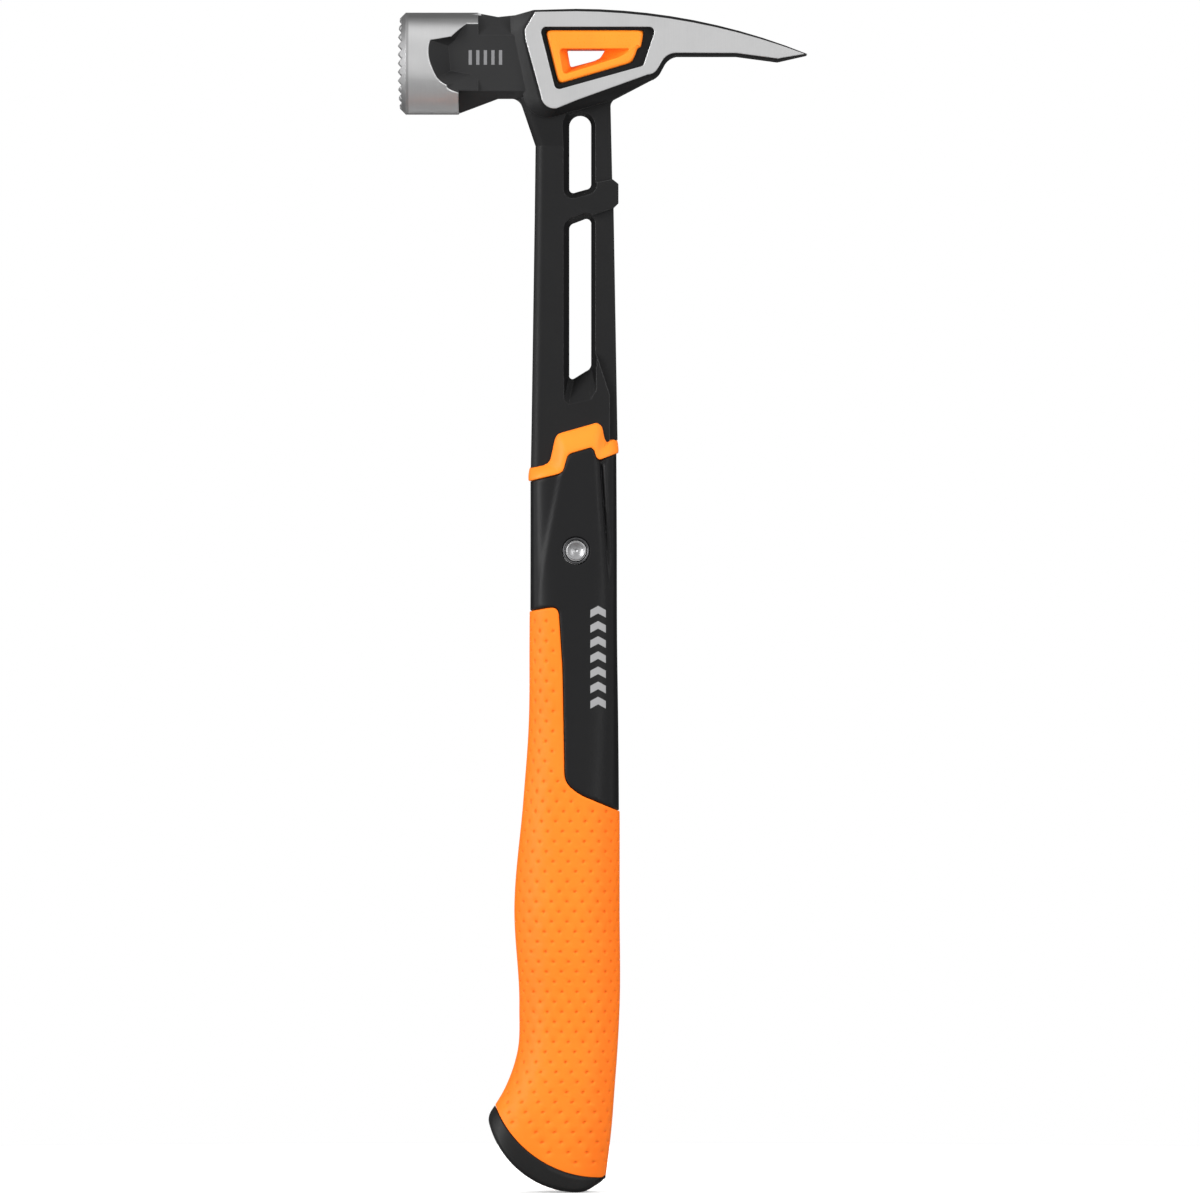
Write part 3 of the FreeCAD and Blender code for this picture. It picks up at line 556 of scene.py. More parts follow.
def crease_points():
    """Extra points across the crease, close enough together for its steep side."""
    out = []
    for down in np.arange(CREASE_START, CREASE_END, CREASE_STEP):
        height = BAND_FRONT - down
        for beyond in (-0.5, -0.08, 0.04, 0.2, 0.4, 0.56, 0.66, 0.95, 1.25, 1.6, 1.95, 2.1, 2.6):
            out.append((SKIN.along_at(flank_rear(down) + beyond, height), height, 0.0))
    return out


def pin_loop(radius, count=48):
    """A circle round the pin, seen from the side, as a loop on the skin."""
    out = []
    for k in range(count):
        angle = 2 * math.pi * k / count
        height = PIN_HEIGHT + radius * math.sin(angle)
        out.append((SKIN.along_at(radius * math.cos(angle), height), height))
    return np.array(out)


def make_shell():
    """The rigid shell between band and grip, with the hole for the pin's tube."""
    top = beside(even(band_lower, 0.7), TONGUE - GAP)
    bottom = beside(grip_line, GAP - TONGUE)
    edge = ((0.05, 0.5), (0.15, 0.2), (0.35, 0.04), (0.65, 0.0))
    holes = [(pin_loop(TUBE_RADIUS + out), drop) for out, drop in edge]
    return skin_piece(
        "handle_shell_skin", ((top, TONGUE_EDGE), (bottom, TONGUE_EDGE)), 1.15, SHELL_SKIN,
        ["handle_shell"], crease_points(), shell_relief, holes)


# ---------------- zig-zag band

NECK_REACH = 0.5        # how far the forging lies behind the handle's skin at the front and rear
NECK_SHRINK = 3.1       # and at the sides


def same_side_view(other, line):
    """How far round another skin the line's points lie, to look the same from the side."""
    out = []
    for along, height in line:
        x = float(SKIN.look_up(SKIN.x, along, height))
        middle = 1 - ease((abs(x) - 10.5) / 2.0)
        out.append(along + (other.along_at(x, height) - along) * middle)
    return np.array(out)


# the band's section: share of the way from its lower line to the upper one, share of the way to the
# neck, lift
BAND_STEPS = (
    (0.5, 0.1, -2.1), (0.02, 0.0, -2.1), (0.0, 0.0, -1.9), (0.0, 0.0, 0.0),
    (0.01, 0.0, 0.24), (0.05, 0.0, 0.4), (0.14, 0.03, 0.5), (0.3, 0.14, 0.56),
    (0.5, 0.34, 0.6), (0.68, 0.58, 0.6), (0.84, 0.82, 0.56), (0.93, 0.94, 0.46),
    (0.98, 0.99, 0.26), (1.0, 1.0, -0.1), (1.0, 1.0, -1.6), (0.8, 1.0, -2.2),
)


def make_band():
    """A closed collar from the shell's skin up to the forging, one ring of points per step."""
    neck = Skin(NECK_SHRINK, NECK_REACH)
    rings = []
    for share, inward, lift in BAND_STEPS:
        line = band_lower * (1 - share) + band_upper * share
        outer = SKIN.point(line[:, 0], line[:, 1], np.full(len(line), lift))
        inner = neck.point(same_side_view(neck, line), line[:, 1], np.full(len(line), lift))
        rings.append(outer * (1 - inward) + inner * inward)
    size = len(band_lower)
    faces = []
    for r in range(len(rings)):
        after = (r + 1) % len(rings)
        for i in range(size - 1):
            faces.append([r * size + i, r * size + i + 1, after * size + i + 1, after * size + i])
    points, faces, _ = mirrored(np.vstack(rings), faces)
    return make_piece("zigzag_band", points, faces, ["isolation_sleeve"])


# ---------------- butt cap

CAP_ROUND = 1.5         # round between the cap's side and its face
CAP_SEAT = GRIP_SKIN + 0.2      # how far the cap's plug lies inside the handle's outline
BEND = 1.1              # softness of the bend between the butt's arc and its rear slant
BEND_FROM = -10.0       # in front of this X the face is the plain arc


def cap_ring(share, inset, lift=0.0, count=110):
    """The handle's outline, smaller by inset, at a share of the way from the joint to the butt's face.

    The points run from front to rear on the -Y half, raised by lift."""
    middle, height, radius = np.array(CAP_ARC) * (1 - share) + np.array(BUTT_ARC) * share
    radius -= lift

    def place(angle):
        x, z = middle + radius * math.cos(angle), height + radius * math.sin(angle)
        # the rear of the butt's face is a slant, met with a smooth bend
        joint = CAP_ARC[1] - math.sqrt(max(0.0, CAP_ARC[2] ** 2 - (x - CAP_ARC[0]) ** 2))
        slant = joint * (1 - share) + ((x - REAR_SLANT[0]) * REAR_SLANT[1] + lift) * share
        if x > BEND_FROM:
            z = (z + slant + math.hypot(z - slant, BEND * share)) / 2
        front, rear, half, power = smooth_profile(z)
        offset = abs(x - (rear - front) / 2) / ((rear + front) / 2 - inset)
        return x, z, offset, half - inset, power

    ends = arc_ends(lambda angle: place(angle)[2] < 1)
    ring = []
    for k in range(count + 1):
        angle = ends[0] + (ends[1] - ends[0]) * (1 - math.cos(math.pi * k / count)) / 2
        x, z, offset, half, power = place(angle)
        y = 0.0 if k in (0, count) else -half * max(0.0, 1 - offset ** power) ** (1 / power)
        ring.append((x, y, z))
    return np.array(ring)


def make_cap():
    """Side wall between joint and butt, a rounded edge, then the butt's face closing on the middle."""
    joint = cap_ring(0.0, CAP_SEAT, 1.3)
    rims = ((CAP_SEAT, -GAP), (0.15, -GAP), (0.04, -0.2), (0.0, -0.4))
    rings = [cap_ring(0.0, inset, lift) for inset, lift in rims]
    rings += [cap_ring(share, 0.0) for share in (0.25, 0.4, 0.52)]
    for k in range(8):
        angle = math.pi / 2 * k / 7
        rings.append(cap_ring(1.0, CAP_ROUND * (1 - math.cos(angle)), CAP_ROUND * (1 - math.sin(angle))))
    face = rings[-1]
    for share in (0.86, 0.7, 0.52, 0.34, 0.17, 0.0):
        rings.append(face * np.array([1.0, share, 1.0]))
    size = len(face)
    inner = [joint * np.array([1.0, share, 1.0]) for share in (0.0, 0.5)]
    rings = inner + [joint] + rings
    faces = []
    for r in range(len(rings) - 1):
        for i in range(size - 1):
            a, b = r * size + i, (r + 1) * size + i
            faces.append([a, a + 1, b + 1, b])
    points, faces, _ = mirrored(np.vstack(rings), faces)
    return make_piece("butt_cap_moulding", points, faces, ["butt_cap"])


# ---------------- window insert

INSERT_TOP = high("window_insert")[2]
INSERT_HALF = high("window_insert")[1]
INSERT_WEB = 4.6        # half depth of the web where the wedge narrows to a hole
INSERT_ROUND = 1.1
BAR = 6.5               # height of the flat bar over the wedge
INSERT_PLAY = 0.02      # between the insert's hidden middle and the window
# outlines as (X, distance below the insert's top), with corners that answer each other
INSERT_OUTLINE = (
    (-10.6, 0.0), (23.3, 0.0), (22.3, 5.8), (21.1, 6.4), (19.3, 11.1), (-6.0, 18.5),
)
INSERT_MOUTH = (
    (-5.6, BAR), (18.3, BAR), (17.6, BAR + 0.8), (16.9, BAR + 1.3), (14.9, BAR + 2.6), (-4.2, BAR + 8.6),
)
INSERT_HOLE = (
    (-3.0, BAR), (10.1, BAR), (8.9, BAR + 2.0), (8.2, BAR + 3.0), (6.3, BAR + 3.9), (-1.9, BAR + 6.1),
)


def closed_loop(corners, radius, span_steps=8):
    """A closed outline with round corners; every corner and every span has the same number of points."""
    corners = [np.array((x, INSERT_TOP - down)) for x, down in corners]
    neighbours = zip(corners[-1:] + corners, corners, corners[1:] + corners[:1])
    arcs = [corner_curve(before, corner, after, radius, 2.2) for before, corner, after in neighbours]
    points = []
    for arc, following in zip(arcs, arcs[1:] + arcs[:1]):
        points += arc
        points += [arc[-1] + (following[0] - arc[-1]) * s for s in np.linspace(0, 1, span_steps + 1)[1:-1]]
    return np.array(points)


def swollen(loop, amount):
    """The loop moved outwards by amount."""
    step = np.roll(loop, -1, axis=0) - np.roll(loop, 1, axis=0)
    step /= np.linalg.norm(step, axis=1, keepdims=True)
    return loop + amount * np.stack([-step[:, 1], step[:, 0]], axis=1)


def make_insert():
    """Plug for the window: rounded rim, flat bar, and a wedge on both sides that narrows to a hole."""
    outline = closed_loop(INSERT_OUTLINE, 2.4)
    root = swollen(closed_loop(INSERT_OUTLINE, 0.3), -INSERT_PLAY)
    mouth = closed_loop(INSERT_MOUTH, 1.3)
    hole = closed_loop(INSERT_HOLE, 0.9)
    middle = mouth * 0.35 + hole * 0.65
    half = [(root, 0.0), (root, INSERT_HALF - INSERT_ROUND - 1.6)]
    for k in range(7):
        angle = math.pi / 2 * k / 6
        shrink = INSERT_ROUND * (1 - math.cos(angle))
        half.append((swollen(outline, -shrink), INSERT_HALF - INSERT_ROUND * (1 - math.sin(angle))))
    for out, down in ((0.45, 0.0), (0.3, 0.06), (0.15, 0.2), (0.05, 0.45), (0.0, 0.9)):
        half.append((swollen(mouth, out), INSERT_HALF - down))
    half += [(middle, INSERT_WEB + 2.6), (hole, INSERT_WEB), (hole, 0.0)]
    rings = [(loop, -depth) for loop, depth in half] + [(loop, depth) for loop, depth in half[-2:0:-1]]
    points = [(x, depth, z) for loop, depth in rings for x, z in loop]
    size = len(outline)
    faces = []
    for r in range(len(rings)):
        after = (r + 1) % len(rings)
        for i in range(size):
            j = (i + 1) % size
            faces.append([r * size + i, r * size + j, after * size + j, after * size + i])
    return make_piece("window_insert_moulding", np.array(points), faces, ["window_insert"])


# ---------------- pin and tube


def lathe(name, profile, replaces, sides=96):
    """A turned piece along Y at the pin's height. profile is a closed line of (radius, y)."""
    points, faces = [], []
    for k in range(sides):
        angle = 2 * math.pi * k / sides
        c, s = math.cos(angle), math.sin(angle)
        points += [(r * c, y, PIN_HEIGHT + r * s) for r, y in profile]
    size = len(profile)
    closed = profile[0][0] > 0
    for k in range(sides):
        a, b = k * size, (k + 1) % sides * size
        for i in range(size if closed else size - 1):
            j = (i + 1) % size
            faces.append([a + i, a + j, b + j, b + i])
    return make_piece(name, np.array(points), faces, replaces)


# the pin's end, as (radius, lift): a centre mark, a dish and a rounded rim
PIN_END = (
    (0.0, -1.25), (0.28, -1.2), (0.42, -1.02), (0.9, -0.98), (1.6, -0.8), (2.3, -0.48),
    (2.62, -0.22), (2.78, -0.06), (2.95, 0.0), (3.1, -0.03), (3.24, -0.12), (3.33, -0.3),
)


def make_pin():
    """The pin, the same at both ends."""
    left = [(r, -PIN_HALF - lift) for r, lift in PIN_END]
    right = [(r, PIN_HALF + lift) for r, lift in reversed(PIN_END)]
    return lathe("cross_pin_turned", left + right, ["cross_pin"])


def make_tube():
    """The tube round the pin, its ends rolled over the shell."""
    bore = PIN_RADIUS + 0.1
    end = (
        (bore, 1.2), (bore + 0.06, 0.85), (bore + 0.2, 0.6), (bore + 0.5, 0.3),
        (TUBE_RADIUS - 0.35, 0.16), (TUBE_RADIUS - 0.12, 0.2), (TUBE_RADIUS, 0.6),
    )
    left = [(r, -PIN_HALF + inward) for r, inward in end]
    right = [(r, PIN_HALF - inward) for r, inward in reversed(end)]
    return lathe("pin_tube_turned", left + right, ["pin_sleeve"])


# ---------------- materials


def grey(value, blue=0.0):
    """A near neutral colour."""
    return (value, value, value + blue, 1.0)


def scaled(colour, factors, lift=0.0):
    """The colour with each channel multiplied and lifted, at most 1."""
    return tuple(min(1.0, c * f + lift) for c, f in zip(colour[:3], factors)) + (1.0,)


class Shader:
    """A node material built by short calls. Values or sockets can be given for any input."""

    def __init__(self, name):
        self.material = bpy.data.materials.new(name)
        self.material.use_nodes = True
        self.nodes = self.material.node_tree.nodes
        self.links = self.material.node_tree.links
        self.surface = self.nodes["Principled BSDF"]
        self.place = self.node("ShaderNodeTexCoord").outputs["Object"]

    def node(self, kind, settings=None, **inputs):
        node = self.nodes.new(kind)
        for key, value in (settings or {}).items():
            setattr(node, key, value)
        for key, value in inputs.items():
            numbered = key[0] == "i" and key[1:].isdigit()
            self.feed(node.inputs[int(key[1:]) if numbered else key.replace("_", " ")], value)
        return node

    def feed(self, socket, value):
        if isinstance(value, bpy.types.NodeSocket):
            self.links.new(value, socket)
        else:
            socket.default_value = value

    def set(self, **inputs):
        for key, value in inputs.items():
            self.feed(self.surface.inputs[key.replace("_", " ")], value)

    def math(self, operation, a, b=0.0):
        return self.node("ShaderNodeMath", {"operation": operation}, i0=a, i1=b).outputs[0]

    def distance(self, a, b):
        """Length of the line with the sides a and b."""
        return self.math("SQRT", self.math("ADD", self.math("MULTIPLY", a, a), self.math("MULTIPLY", b, b)))

    def mix(self, share, a, b):
        """Colours a and b mixed by share."""
        node = self.node("ShaderNodeMix", {"data_type": "RGBA"}, i0=share)
        self.feed(node.inputs[6], a)
        self.feed(node.inputs[7], b)
        return node.outputs[2]

    def blend(self, share, a, b):
        """Numbers a and b mixed by share."""
        return self.node("ShaderNodeMix", {"data_type": "FLOAT"}, i0=share, i2=a, i3=b).outputs[0]

    def ramp(self, value, start, end, low_value=0.0, high_value=1.0):
        """A soft step from low_value at start to high_value at end."""
        node = self.node("ShaderNodeMapRange", {"interpolation_type": "SMOOTHSTEP"},
                         i0=value, i1=start, i2=end, i3=low_value, i4=high_value)
        return node.outputs[0]

    def between(self, value, start, end, soft):
        """1 from start to end and 0 outside, with borders this soft."""
        inner = self.ramp(value, start, start + soft)
        return self.math("MULTIPLY", inner, self.ramp(value, end, end - soft))

    def noise(self, size, stretch=(1, 1, 1), detail=3.0, roughness=0.55):
        """Noise whose features are about size millimetres, stretched per axis."""
        scale = [1 / (size * MM * s) for s in stretch]
        where = self.node("ShaderNodeVectorMath", {"operation": "MULTIPLY"}, i0=self.place, i1=scale)
        node = self.node("ShaderNodeTexNoise", None, Vector=where.outputs[0], Scale=1.0,
                         Detail=detail, Roughness=roughness)
        return node.outputs["Fac"]

    def axes(self):
        parts = self.node("ShaderNodeSeparateXYZ", None, Vector=self.place)
        return [parts.outputs[i] for i in range(3)]

    def bump(self, height, depth, normal=None):
        """Bump of this depth in millimetres from a height between 0 and 1."""
        node = self.node("ShaderNodeBump", None, Strength=1.0, Distance=depth * MM, Height=height)
        if normal is not None:
            self.feed(node.inputs["Normal"], normal)
        return node.outputs[0]

    def soft_edges(self, radius):
        """Normals that run round the edges with this radius in millimetres."""
        return self.node("ShaderNodeBevel", {"samples": 6}, Radius=radius * MM).outputs[0]

    def edges(self, rounded_normal, start=0.02, end=0.2):
        """1 on sharp edges and 0 elsewhere, from how far the rounded normal leans."""
        true = self.node("ShaderNodeNewGeometry").outputs["Normal"]
        dot = self.node("ShaderNodeVectorMath", {"operation": "DOT_PRODUCT"}, i0=rounded_normal, i1=true)
        return self.ramp(self.math("SUBTRACT", 1.0, dot.outputs["Value"]), start, end)


PANEL_FROM = -26.0                      # X where the cheek's ground panels begin
BELL_RADIUS = high("forged_head")[1]
BELL_TO = -32.5                         # X where the bell's ground round ends
NECK_LIGHT_FROM, NECK_LIGHT_TO = -21.0, -14.0       # X over which the painted light that makes the neck's coating paler fades out
BARS = (-37.8, -24.7)                   # X of the index bars on the neck
BARS_LOW, BARS_HIGH = BELL_AXIS - 0.7, BELL_AXIS + 4.4
BAR_PITCH = 2.6


def bare_steel(s, x, y, z, face):
    """1 where the forging is ground: the cheek's panels, the bell's round and the striking face."""
    panel = s.math("MULTIPLY",
                   s.ramp(s.math("ABSOLUTE", y), (PANEL_HALF - 0.2) * MM, (PANEL_HALF - 0.08) * MM),
                   s.ramp(x, PANEL_FROM * MM, (PANEL_FROM + 0.2) * MM))
    radius = s.distance(y, s.math("SUBTRACT", z, BELL_AXIS * MM))
    bell = s.math("MULTIPLY",
                  s.ramp(radius, (BELL_RADIUS - 0.3) * MM, (BELL_RADIUS - 0.1) * MM),
                  s.ramp(x, BELL_TO * MM, (BELL_TO - 0.2) * MM))
    return s.math("MAXIMUM", s.math("MAXIMUM", panel, bell), face)


def neck_bars(s, x, z):
    """Plain index bars on both flats of the neck."""
    half = BAR_PITCH / 2 * MM
    bar = s.ramp(s.math("PINGPONG", s.math("ADD", x, 0.1), half), half - 0.58 * MM, half - 0.52 * MM)
    across = s.between(x, BARS[0] * MM, BARS[1] * MM, 0.1 * MM)
    upright = s.between(z, BARS_LOW * MM, BARS_HIGH * MM, 0.1 * MM)
    return s.math("MULTIPLY", bar, s.math("MULTIPLY", across, upright))


def forging_material():
    """Ground steel on the side panels, the bell and the face; matte black coating elsewhere."""
    s = Shader("forging_coated_and_ground")
    x, y, z = s.axes()
    soft = s.soft_edges(0.45)
    edge_wear_and_highlight = s.edges(soft)
    face = s.ramp(x, (FACE_X + 0.1) * MM, (FACE_X - 0.1) * MM)
    steel = bare_steel(s, x, y, z, face)
    # steel: fine grinding lines across the panels and round the bell
    lines = s.noise(0.22, (1, 40, 40), 4.0, 0.6)
    cloud = s.noise(9.0)
    steel_colour = s.mix(s.math("MULTIPLY", lines, 0.5), grey(1.0), grey(0.80, 0.01))
    steel_colour = s.mix(s.ramp(cloud, 0.35, 0.75, 0.0, 0.14), steel_colour, grey(0.62, 0.01))
    steel_rough = s.math("ADD", 0.24, s.math("MULTIPLY", lines, 0.14))
    # the milled face is duller than the ground sides
    steel_colour = s.mix(s.math("MULTIPLY", face, 0.55), steel_colour, grey(0.30, 0.005))
    steel_rough = s.math("ADD", steel_rough, s.math("MULTIPLY", face, 0.16))
    # coating: fine powder texture; painted light makes it paler on the neck, and its edges are smoother
    # from rubbing and carry painted highlights
    grain = s.noise(0.35, detail=4.0, roughness=0.65)
    patch = s.noise(14.0, detail=2.0)
    # painted light: the coating's colour is paler on the neck, where light falls on its flats
    neck = s.ramp(x, NECK_LIGHT_TO * MM, NECK_LIGHT_FROM * MM)
    coat_colour = s.mix(patch, grey(0.0035, 0.0003), grey(0.0062, 0.0003))
    coat_colour = s.mix(neck, coat_colour, s.mix(patch, grey(0.0125, 0.0005), grey(0.0175, 0.0005)))
    # painted highlight: the coating's colour is lightened along sharp edges
    painted_edge_highlight = s.math("MULTIPLY", edge_wear_and_highlight, s.ramp(grain, 0.3, 0.7, 0.15, 0.6))
    coat_colour = s.mix(painted_edge_highlight, coat_colour, grey(0.09, 0.002))
    coat_colour = s.mix(neck_bars(s, x, z), coat_colour, grey(0.16, 0.005))
    coat_rough = s.blend(edge_wear_and_highlight, s.ramp(grain, 0.2, 0.8, 0.44, 0.6), 0.36)
    s.set(Base_Color=s.mix(steel, coat_colour, steel_colour), Metallic=steel, Specular_IOR_Level=0.36,
          Roughness=s.blend(steel, coat_rough, steel_rough))
    s.set(Normal=s.bump(s.blend(steel, grain, lines), 0.012, soft))
    return s.material


def elastomer_material(name, colour, deep, rough):
    """Soft moulded elastomer: satin, very fine texture, slightly uneven colour, and painted shade that
    darkens its dimples.
    """
    s = Shader(name)
    cloud = s.noise(22.0, (1, 1, 1.6))
    grain = s.noise(0.28, roughness=0.6)
    hollow = s.node("ShaderNodeAttribute", {"attribute_name": "hollow"}).outputs["Fac"]
    base = s.mix(s.ramp(cloud, 0.3, 0.75), colour, deep)
    # painted shade: the colour turns darker and deeper towards the bottom of each dimple
    base = s.mix(s.math("MULTIPLY", hollow, 0.42), base, scaled(colour, (0.8, 0.5, 0.3)))
    s.set(Base_Color=base, Specular_IOR_Level=0.3, Normal=s.bump(grain, 0.012),
          Roughness=s.ramp(grain, 0.25, 0.75, rough - 0.05, rough + 0.08))
    return s.material


def moulded_material(name, colour, rough, grain_size, mark=None):
    """Hard moulded plastic: fine spark texture, edges smoother from rubbing and lightened as painted
    highlights.
    """
    s = Shader(name)
    soft = s.soft_edges(0.2)
    edge_wear_and_highlight = s.edges(soft, 0.01, 0.12)
    grain = s.noise(grain_size, detail=4.0, roughness=0.7)
    cloud = s.noise(16.0, (1, 1, 1.5), 2.0)
    base = s.mix(cloud, colour, scaled(colour, (1.35, 1.35, 1.35)))
    # painted highlight: the colour is lightened along sharp edges
    base = s.mix(s.math("MULTIPLY", edge_wear_and_highlight, 0.35), base, scaled(colour, (1.8, 1.8, 1.8), 0.004))
    if mark is not None:
        base = s.mix(mark(s), base, grey(0.27, 0.005))
    s.set(Base_Color=base, Specular_IOR_Level=0.36, Normal=s.bump(grain, 0.016, soft),
          Roughness=s.blend(edge_wear_and_highlight, s.ramp(grain, 0.25, 0.75, rough - 0.06, rough + 0.08), rough - 0.1))
    return s.material


MARK = (4.9, 10.3)              # X of the printed column
MARK_LOW, MARK_HIGH = 166.3, 202.7
MARK_PITCH = 5.2
MARK_SLANT = 0.55


def shell_mark(s):
    """A plain column of chevrons on both sides of the shell, in place of any lettering."""
    x, _, z = s.axes()
    middle = sum(MARK) / 2 * MM
    drop = s.math("MULTIPLY", s.math("ABSOLUTE", s.math("SUBTRACT", x, middle)), MARK_SLANT)
    slant = s.math("ADD", z, drop)
    half = MARK_PITCH / 2 * MM
    stripe = s.ramp(s.math("PINGPONG", slant, half), half / 2 - 0.05 * MM, half / 2 + 0.05 * MM)
    column = s.between(x, MARK[0] * MM, MARK[1] * MM, 0.1 * MM)
    rows = s.between(slant, MARK_LOW * MM, MARK_HIGH * MM, 0.2 * MM)
    return s.math("MULTIPLY", stripe, s.math("MULTIPLY", column, rows))


def steel_material(name, colour, dull):
    """Turned steel, with fine rings round the pin's axis."""
    s = Shader(name)
    x, _, z = s.axes()
    radius = s.distance(x, s.math("SUBTRACT", z, PIN_HEIGHT * MM))
    rings = s.node("ShaderNodeTexNoise", {"noise_dimensions": "1D"}, W=s.math("MULTIPLY", radius, 9000.0),
                   Scale=1.0, Detail=3.0).outputs["Fac"]
    cloud = s.noise(1.2)
    s.set(Base_Color=s.mix(cloud, colour, dull), Metallic=1.0,
          Roughness=s.ramp(cloud, 0.3, 0.7, 0.2, 0.36), Normal=s.bump(rings, 0.01))
    return s.material


def dress(piece, material):
    """The one material of a piece or of a carried-over CAD node."""
    if not piece.data.materials:
        piece.data.materials.append(material)
    for slot in piece.material_slots:
        slot.link = "OBJECT"
        slot.material = material


GRIP_ORANGE = (0.94, 0.192, 0.012, 1)
GRIP_ORANGE_DEEP = (0.91, 0.176, 0.009, 1)
BAND_ORANGE = (0.95, 0.225, 0.018, 1)
BAND_ORANGE_DEEP = (0.92, 0.205, 0.014, 1)
INSERT_ORANGE = (0.90, 0.19, 0.014, 1)

dress(make_grip(), elastomer_material("orange_grip_elastomer", GRIP_ORANGE, GRIP_ORANGE_DEEP, 0.52))
dress(make_band(), elastomer_material("orange_band_elastomer", BAND_ORANGE, BAND_ORANGE_DEEP, 0.42))
dress(make_shell(), moulded_material("black_nylon_moulded", grey(0.0034, 0.0004), 0.40, 0.3, shell_mark))
dress(make_cap(), moulded_material("black_cap_moulded", grey(0.0055), 0.46, 0.45))
dress(make_pin(), steel_material("turned_steel_bright", grey(0.62, 0.01), grey(0.48, 0.01)))
# painted shade: the tube's steel is coloured dark for the shade in the recess round the pin
dress(make_tube(), steel_material("turned_steel_darkened_for_shade", grey(0.17, 0.005), grey(0.10, 0.005)))
dress(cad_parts["forged_head"], forging_material())
dress(make_insert(), moulded_material("orange_insert_moulded", INSERT_ORANGE, 0.3, 0.5))

# ---------------- floor, light and camera


FLOOR_RADIUS = 0.6      # metres
FLOOR_GLOW = 0.36       # what the camera sees on top of the light


def make_floor():
    """A plain pale floor under the butt: pale for the camera, grey for the light it throws back."""
    mesh = bpy.data.meshes.new("floor")
    work = bmesh.new()
    bmesh.ops.create_circle(work, cap_ends=True, segments=96, radius=FLOOR_RADIUS)
    work.to_mesh(mesh)
    work.free()
    floor = bpy.data.objects.new("floor", mesh)
    bpy.context.scene.collection.objects.link(floor)
    s = Shader("pale_floor")
    pale = s.mix(s.noise(40.0), grey(0.88, -0.01), grey(0.91, -0.01))
    by_camera = s.node("ShaderNodeLightPath").outputs["Is Camera Ray"]
    s.set(Base_Color=s.mix(by_camera, grey(0.2), pale), Roughness=0.6, Emission_Color=grey(1.0),
          Emission_Strength=s.math("MULTIPLY", by_camera, FLOOR_GLOW))
    mesh.materials.append(s.material)


# brightness of the room round the hammer, by the angle from straight ahead (0) up over the back
ROOM = (
    (-180, 0.05), (-150, 0.09), (-128, 0.05), (-105, 0.10), (-72, 0.30), (-40, 0.50), (0, 0.58),
    (45, 0.58), (72, 0.70), (88, 0.68), (106, 0.26), (128, 0.08), (152, 0.12), (180, 0.05),
)
ROOM_LEFT, ROOM_RIGHT = 1.12, 0.88      # share of that brightness at the far left and the far right


def make_room():
    """White for the camera; for the light, a soft room that is darker behind above and behind below."""
    world = bpy.data.worlds.new("studio")
    bpy.context.scene.world = world
    world.use_nodes = True
    nodes, links = world.node_tree.nodes, world.node_tree.links

    def node(kind, operation=None):
        new = nodes.new(kind)
        if operation:
            new.operation = operation
        return new

    ray = node("ShaderNodeSeparateXYZ")
    links.new(node("ShaderNodeTexCoord").outputs["Generated"], ray.inputs[0])
    ahead = node("ShaderNodeMath", "MULTIPLY")
    links.new(ray.outputs["Y"], ahead.inputs[0])
    ahead.inputs[1].default_value = -1.0
    angle = node("ShaderNodeMath", "ARCTAN2")
    links.new(ray.outputs["Z"], angle.inputs[0])
    links.new(ahead.outputs[0], angle.inputs[1])
    turn = node("ShaderNodeMapRange")
    links.new(angle.outputs[0], turn.inputs[0])
    turn.inputs[1].default_value = -math.pi
    turn.inputs[2].default_value = math.pi
    brightness = node("ShaderNodeValToRGB")
    links.new(turn.outputs[0], brightness.inputs[0])
    stops = brightness.color_ramp.elements
    while len(stops) < len(ROOM):
        stops.new(0.5)
    for stop, (degrees, value) in zip(stops, ROOM):
        stop.position = degrees / 360 + 0.5
        stop.color = grey(value)
    across = node("ShaderNodeMapRange")
    links.new(ray.outputs["X"], across.inputs[0])
    for index, value in enumerate((-1.0, 1.0, ROOM_LEFT, ROOM_RIGHT), start=1):
        across.inputs[index].default_value = value
    light = node("ShaderNodeVectorMath", "MULTIPLY")
    links.new(brightness.outputs[0], light.inputs[0])
    links.new(across.outputs[0], light.inputs[1])
    seen_or_light = node("ShaderNodeMix")
    seen_or_light.data_type = "RGBA"
    links.new(node("ShaderNodeLightPath").outputs["Is Camera Ray"], seen_or_light.inputs[0])
    links.new(light.outputs[0], seen_or_light.inputs[6])
    seen_or_light.inputs[7].default_value = grey(1.0)
    links.new(seen_or_light.outputs[2], nodes["Background"].inputs["Color"])


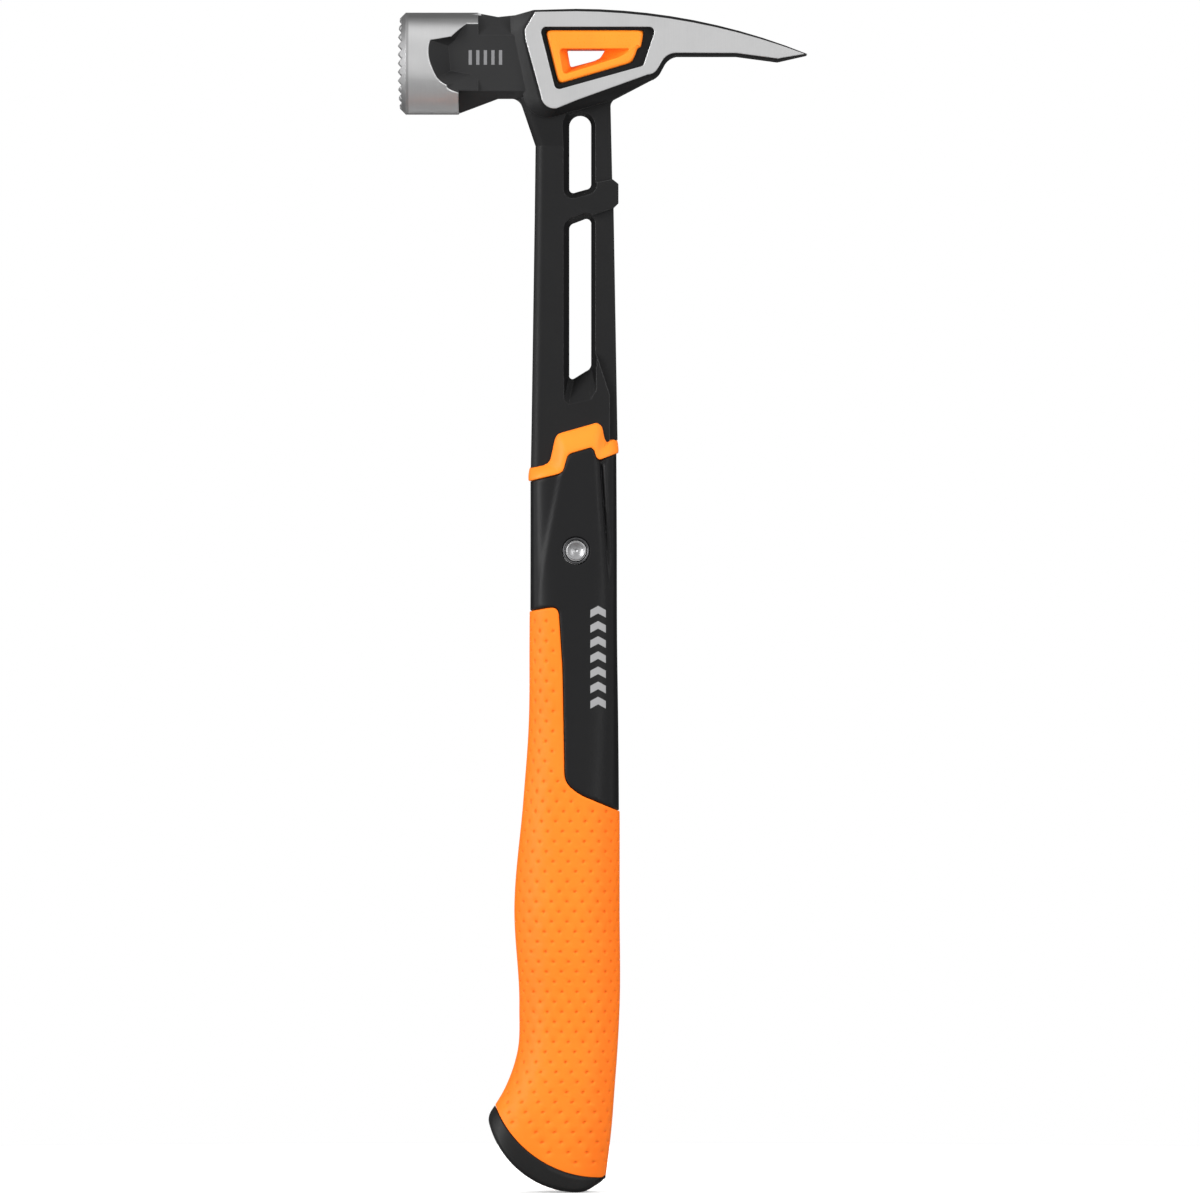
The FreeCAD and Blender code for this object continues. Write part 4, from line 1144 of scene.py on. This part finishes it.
# soft boxes, metres and watts: name, azimuth from the camera's side, elevation, size, power, whether
# shiny surfaces show it
LIGHTS = (
    ("fill_left", -50, 18, (0.5, 1.1), 14, False),
    ("fill_right", 50, 18, (0.5, 1.1), 14, False),
    ("key_left", -56, 15, (0.35, 1.1), 6.5, True),
    ("key_right", 34, 15, (0.2, 1.1), 1.6, True),
    ("edge_left", -100, 5, (0.25, 1.0), 1.5, True),
    ("edge_right", 100, 5, (0.25, 1.0), 0.7, True),
    ("back_fill", 180, 12, (0.8, 1.1), 16, False),
)
LIGHT_TARGET = Vector((0.0, 0.0, 0.21))
LIGHT_DISTANCE = 1.3


def soft_light(name, azimuth, elevation, size, power, gloss):
    """A soft box aimed at the middle of the hammer."""
    a, e = math.radians(azimuth), math.radians(elevation)
    offset = Vector((math.sin(a) * math.cos(e), -math.cos(a) * math.cos(e), math.sin(e))) * LIGHT_DISTANCE
    data = bpy.data.lights.new(name, "AREA")
    data.shape = "RECTANGLE"
    data.size, data.size_y = size
    data.energy = power
    light = bpy.data.objects.new(name, data)
    light.location = LIGHT_TARGET + offset
    light.visible_camera = False
    light.visible_glossy = gloss
    light.rotation_euler = (-offset).to_track_quat("-Z", "Y").to_euler()
    bpy.context.scene.collection.objects.link(light)


VIEW_CENTRE = (0.00825, 0.2035)         # X and Z in metres
VIEW_WIDTH = 0.4126
LENS, SENSOR = 600.0, 36.0


def make_camera():
    """A long lens straight at the side, as the photograph shows it."""
    data = bpy.data.cameras.new("camera")
    data.lens = LENS
    data.sensor_width = SENSOR
    distance = VIEW_WIDTH * LENS / SENSOR
    data.clip_end = distance * 3
    camera = bpy.data.objects.new("camera", data)
    camera.location = (VIEW_CENTRE[0], -distance, VIEW_CENTRE[1])
    camera.rotation_euler = (math.radians(90), 0, 0)
    bpy.context.scene.collection.objects.link(camera)
    bpy.context.scene.camera = camera


make_floor()
make_room()
for light in LIGHTS:
    soft_light(*light)
make_camera()
bpy.context.scene.view_settings.view_transform = "Standard"
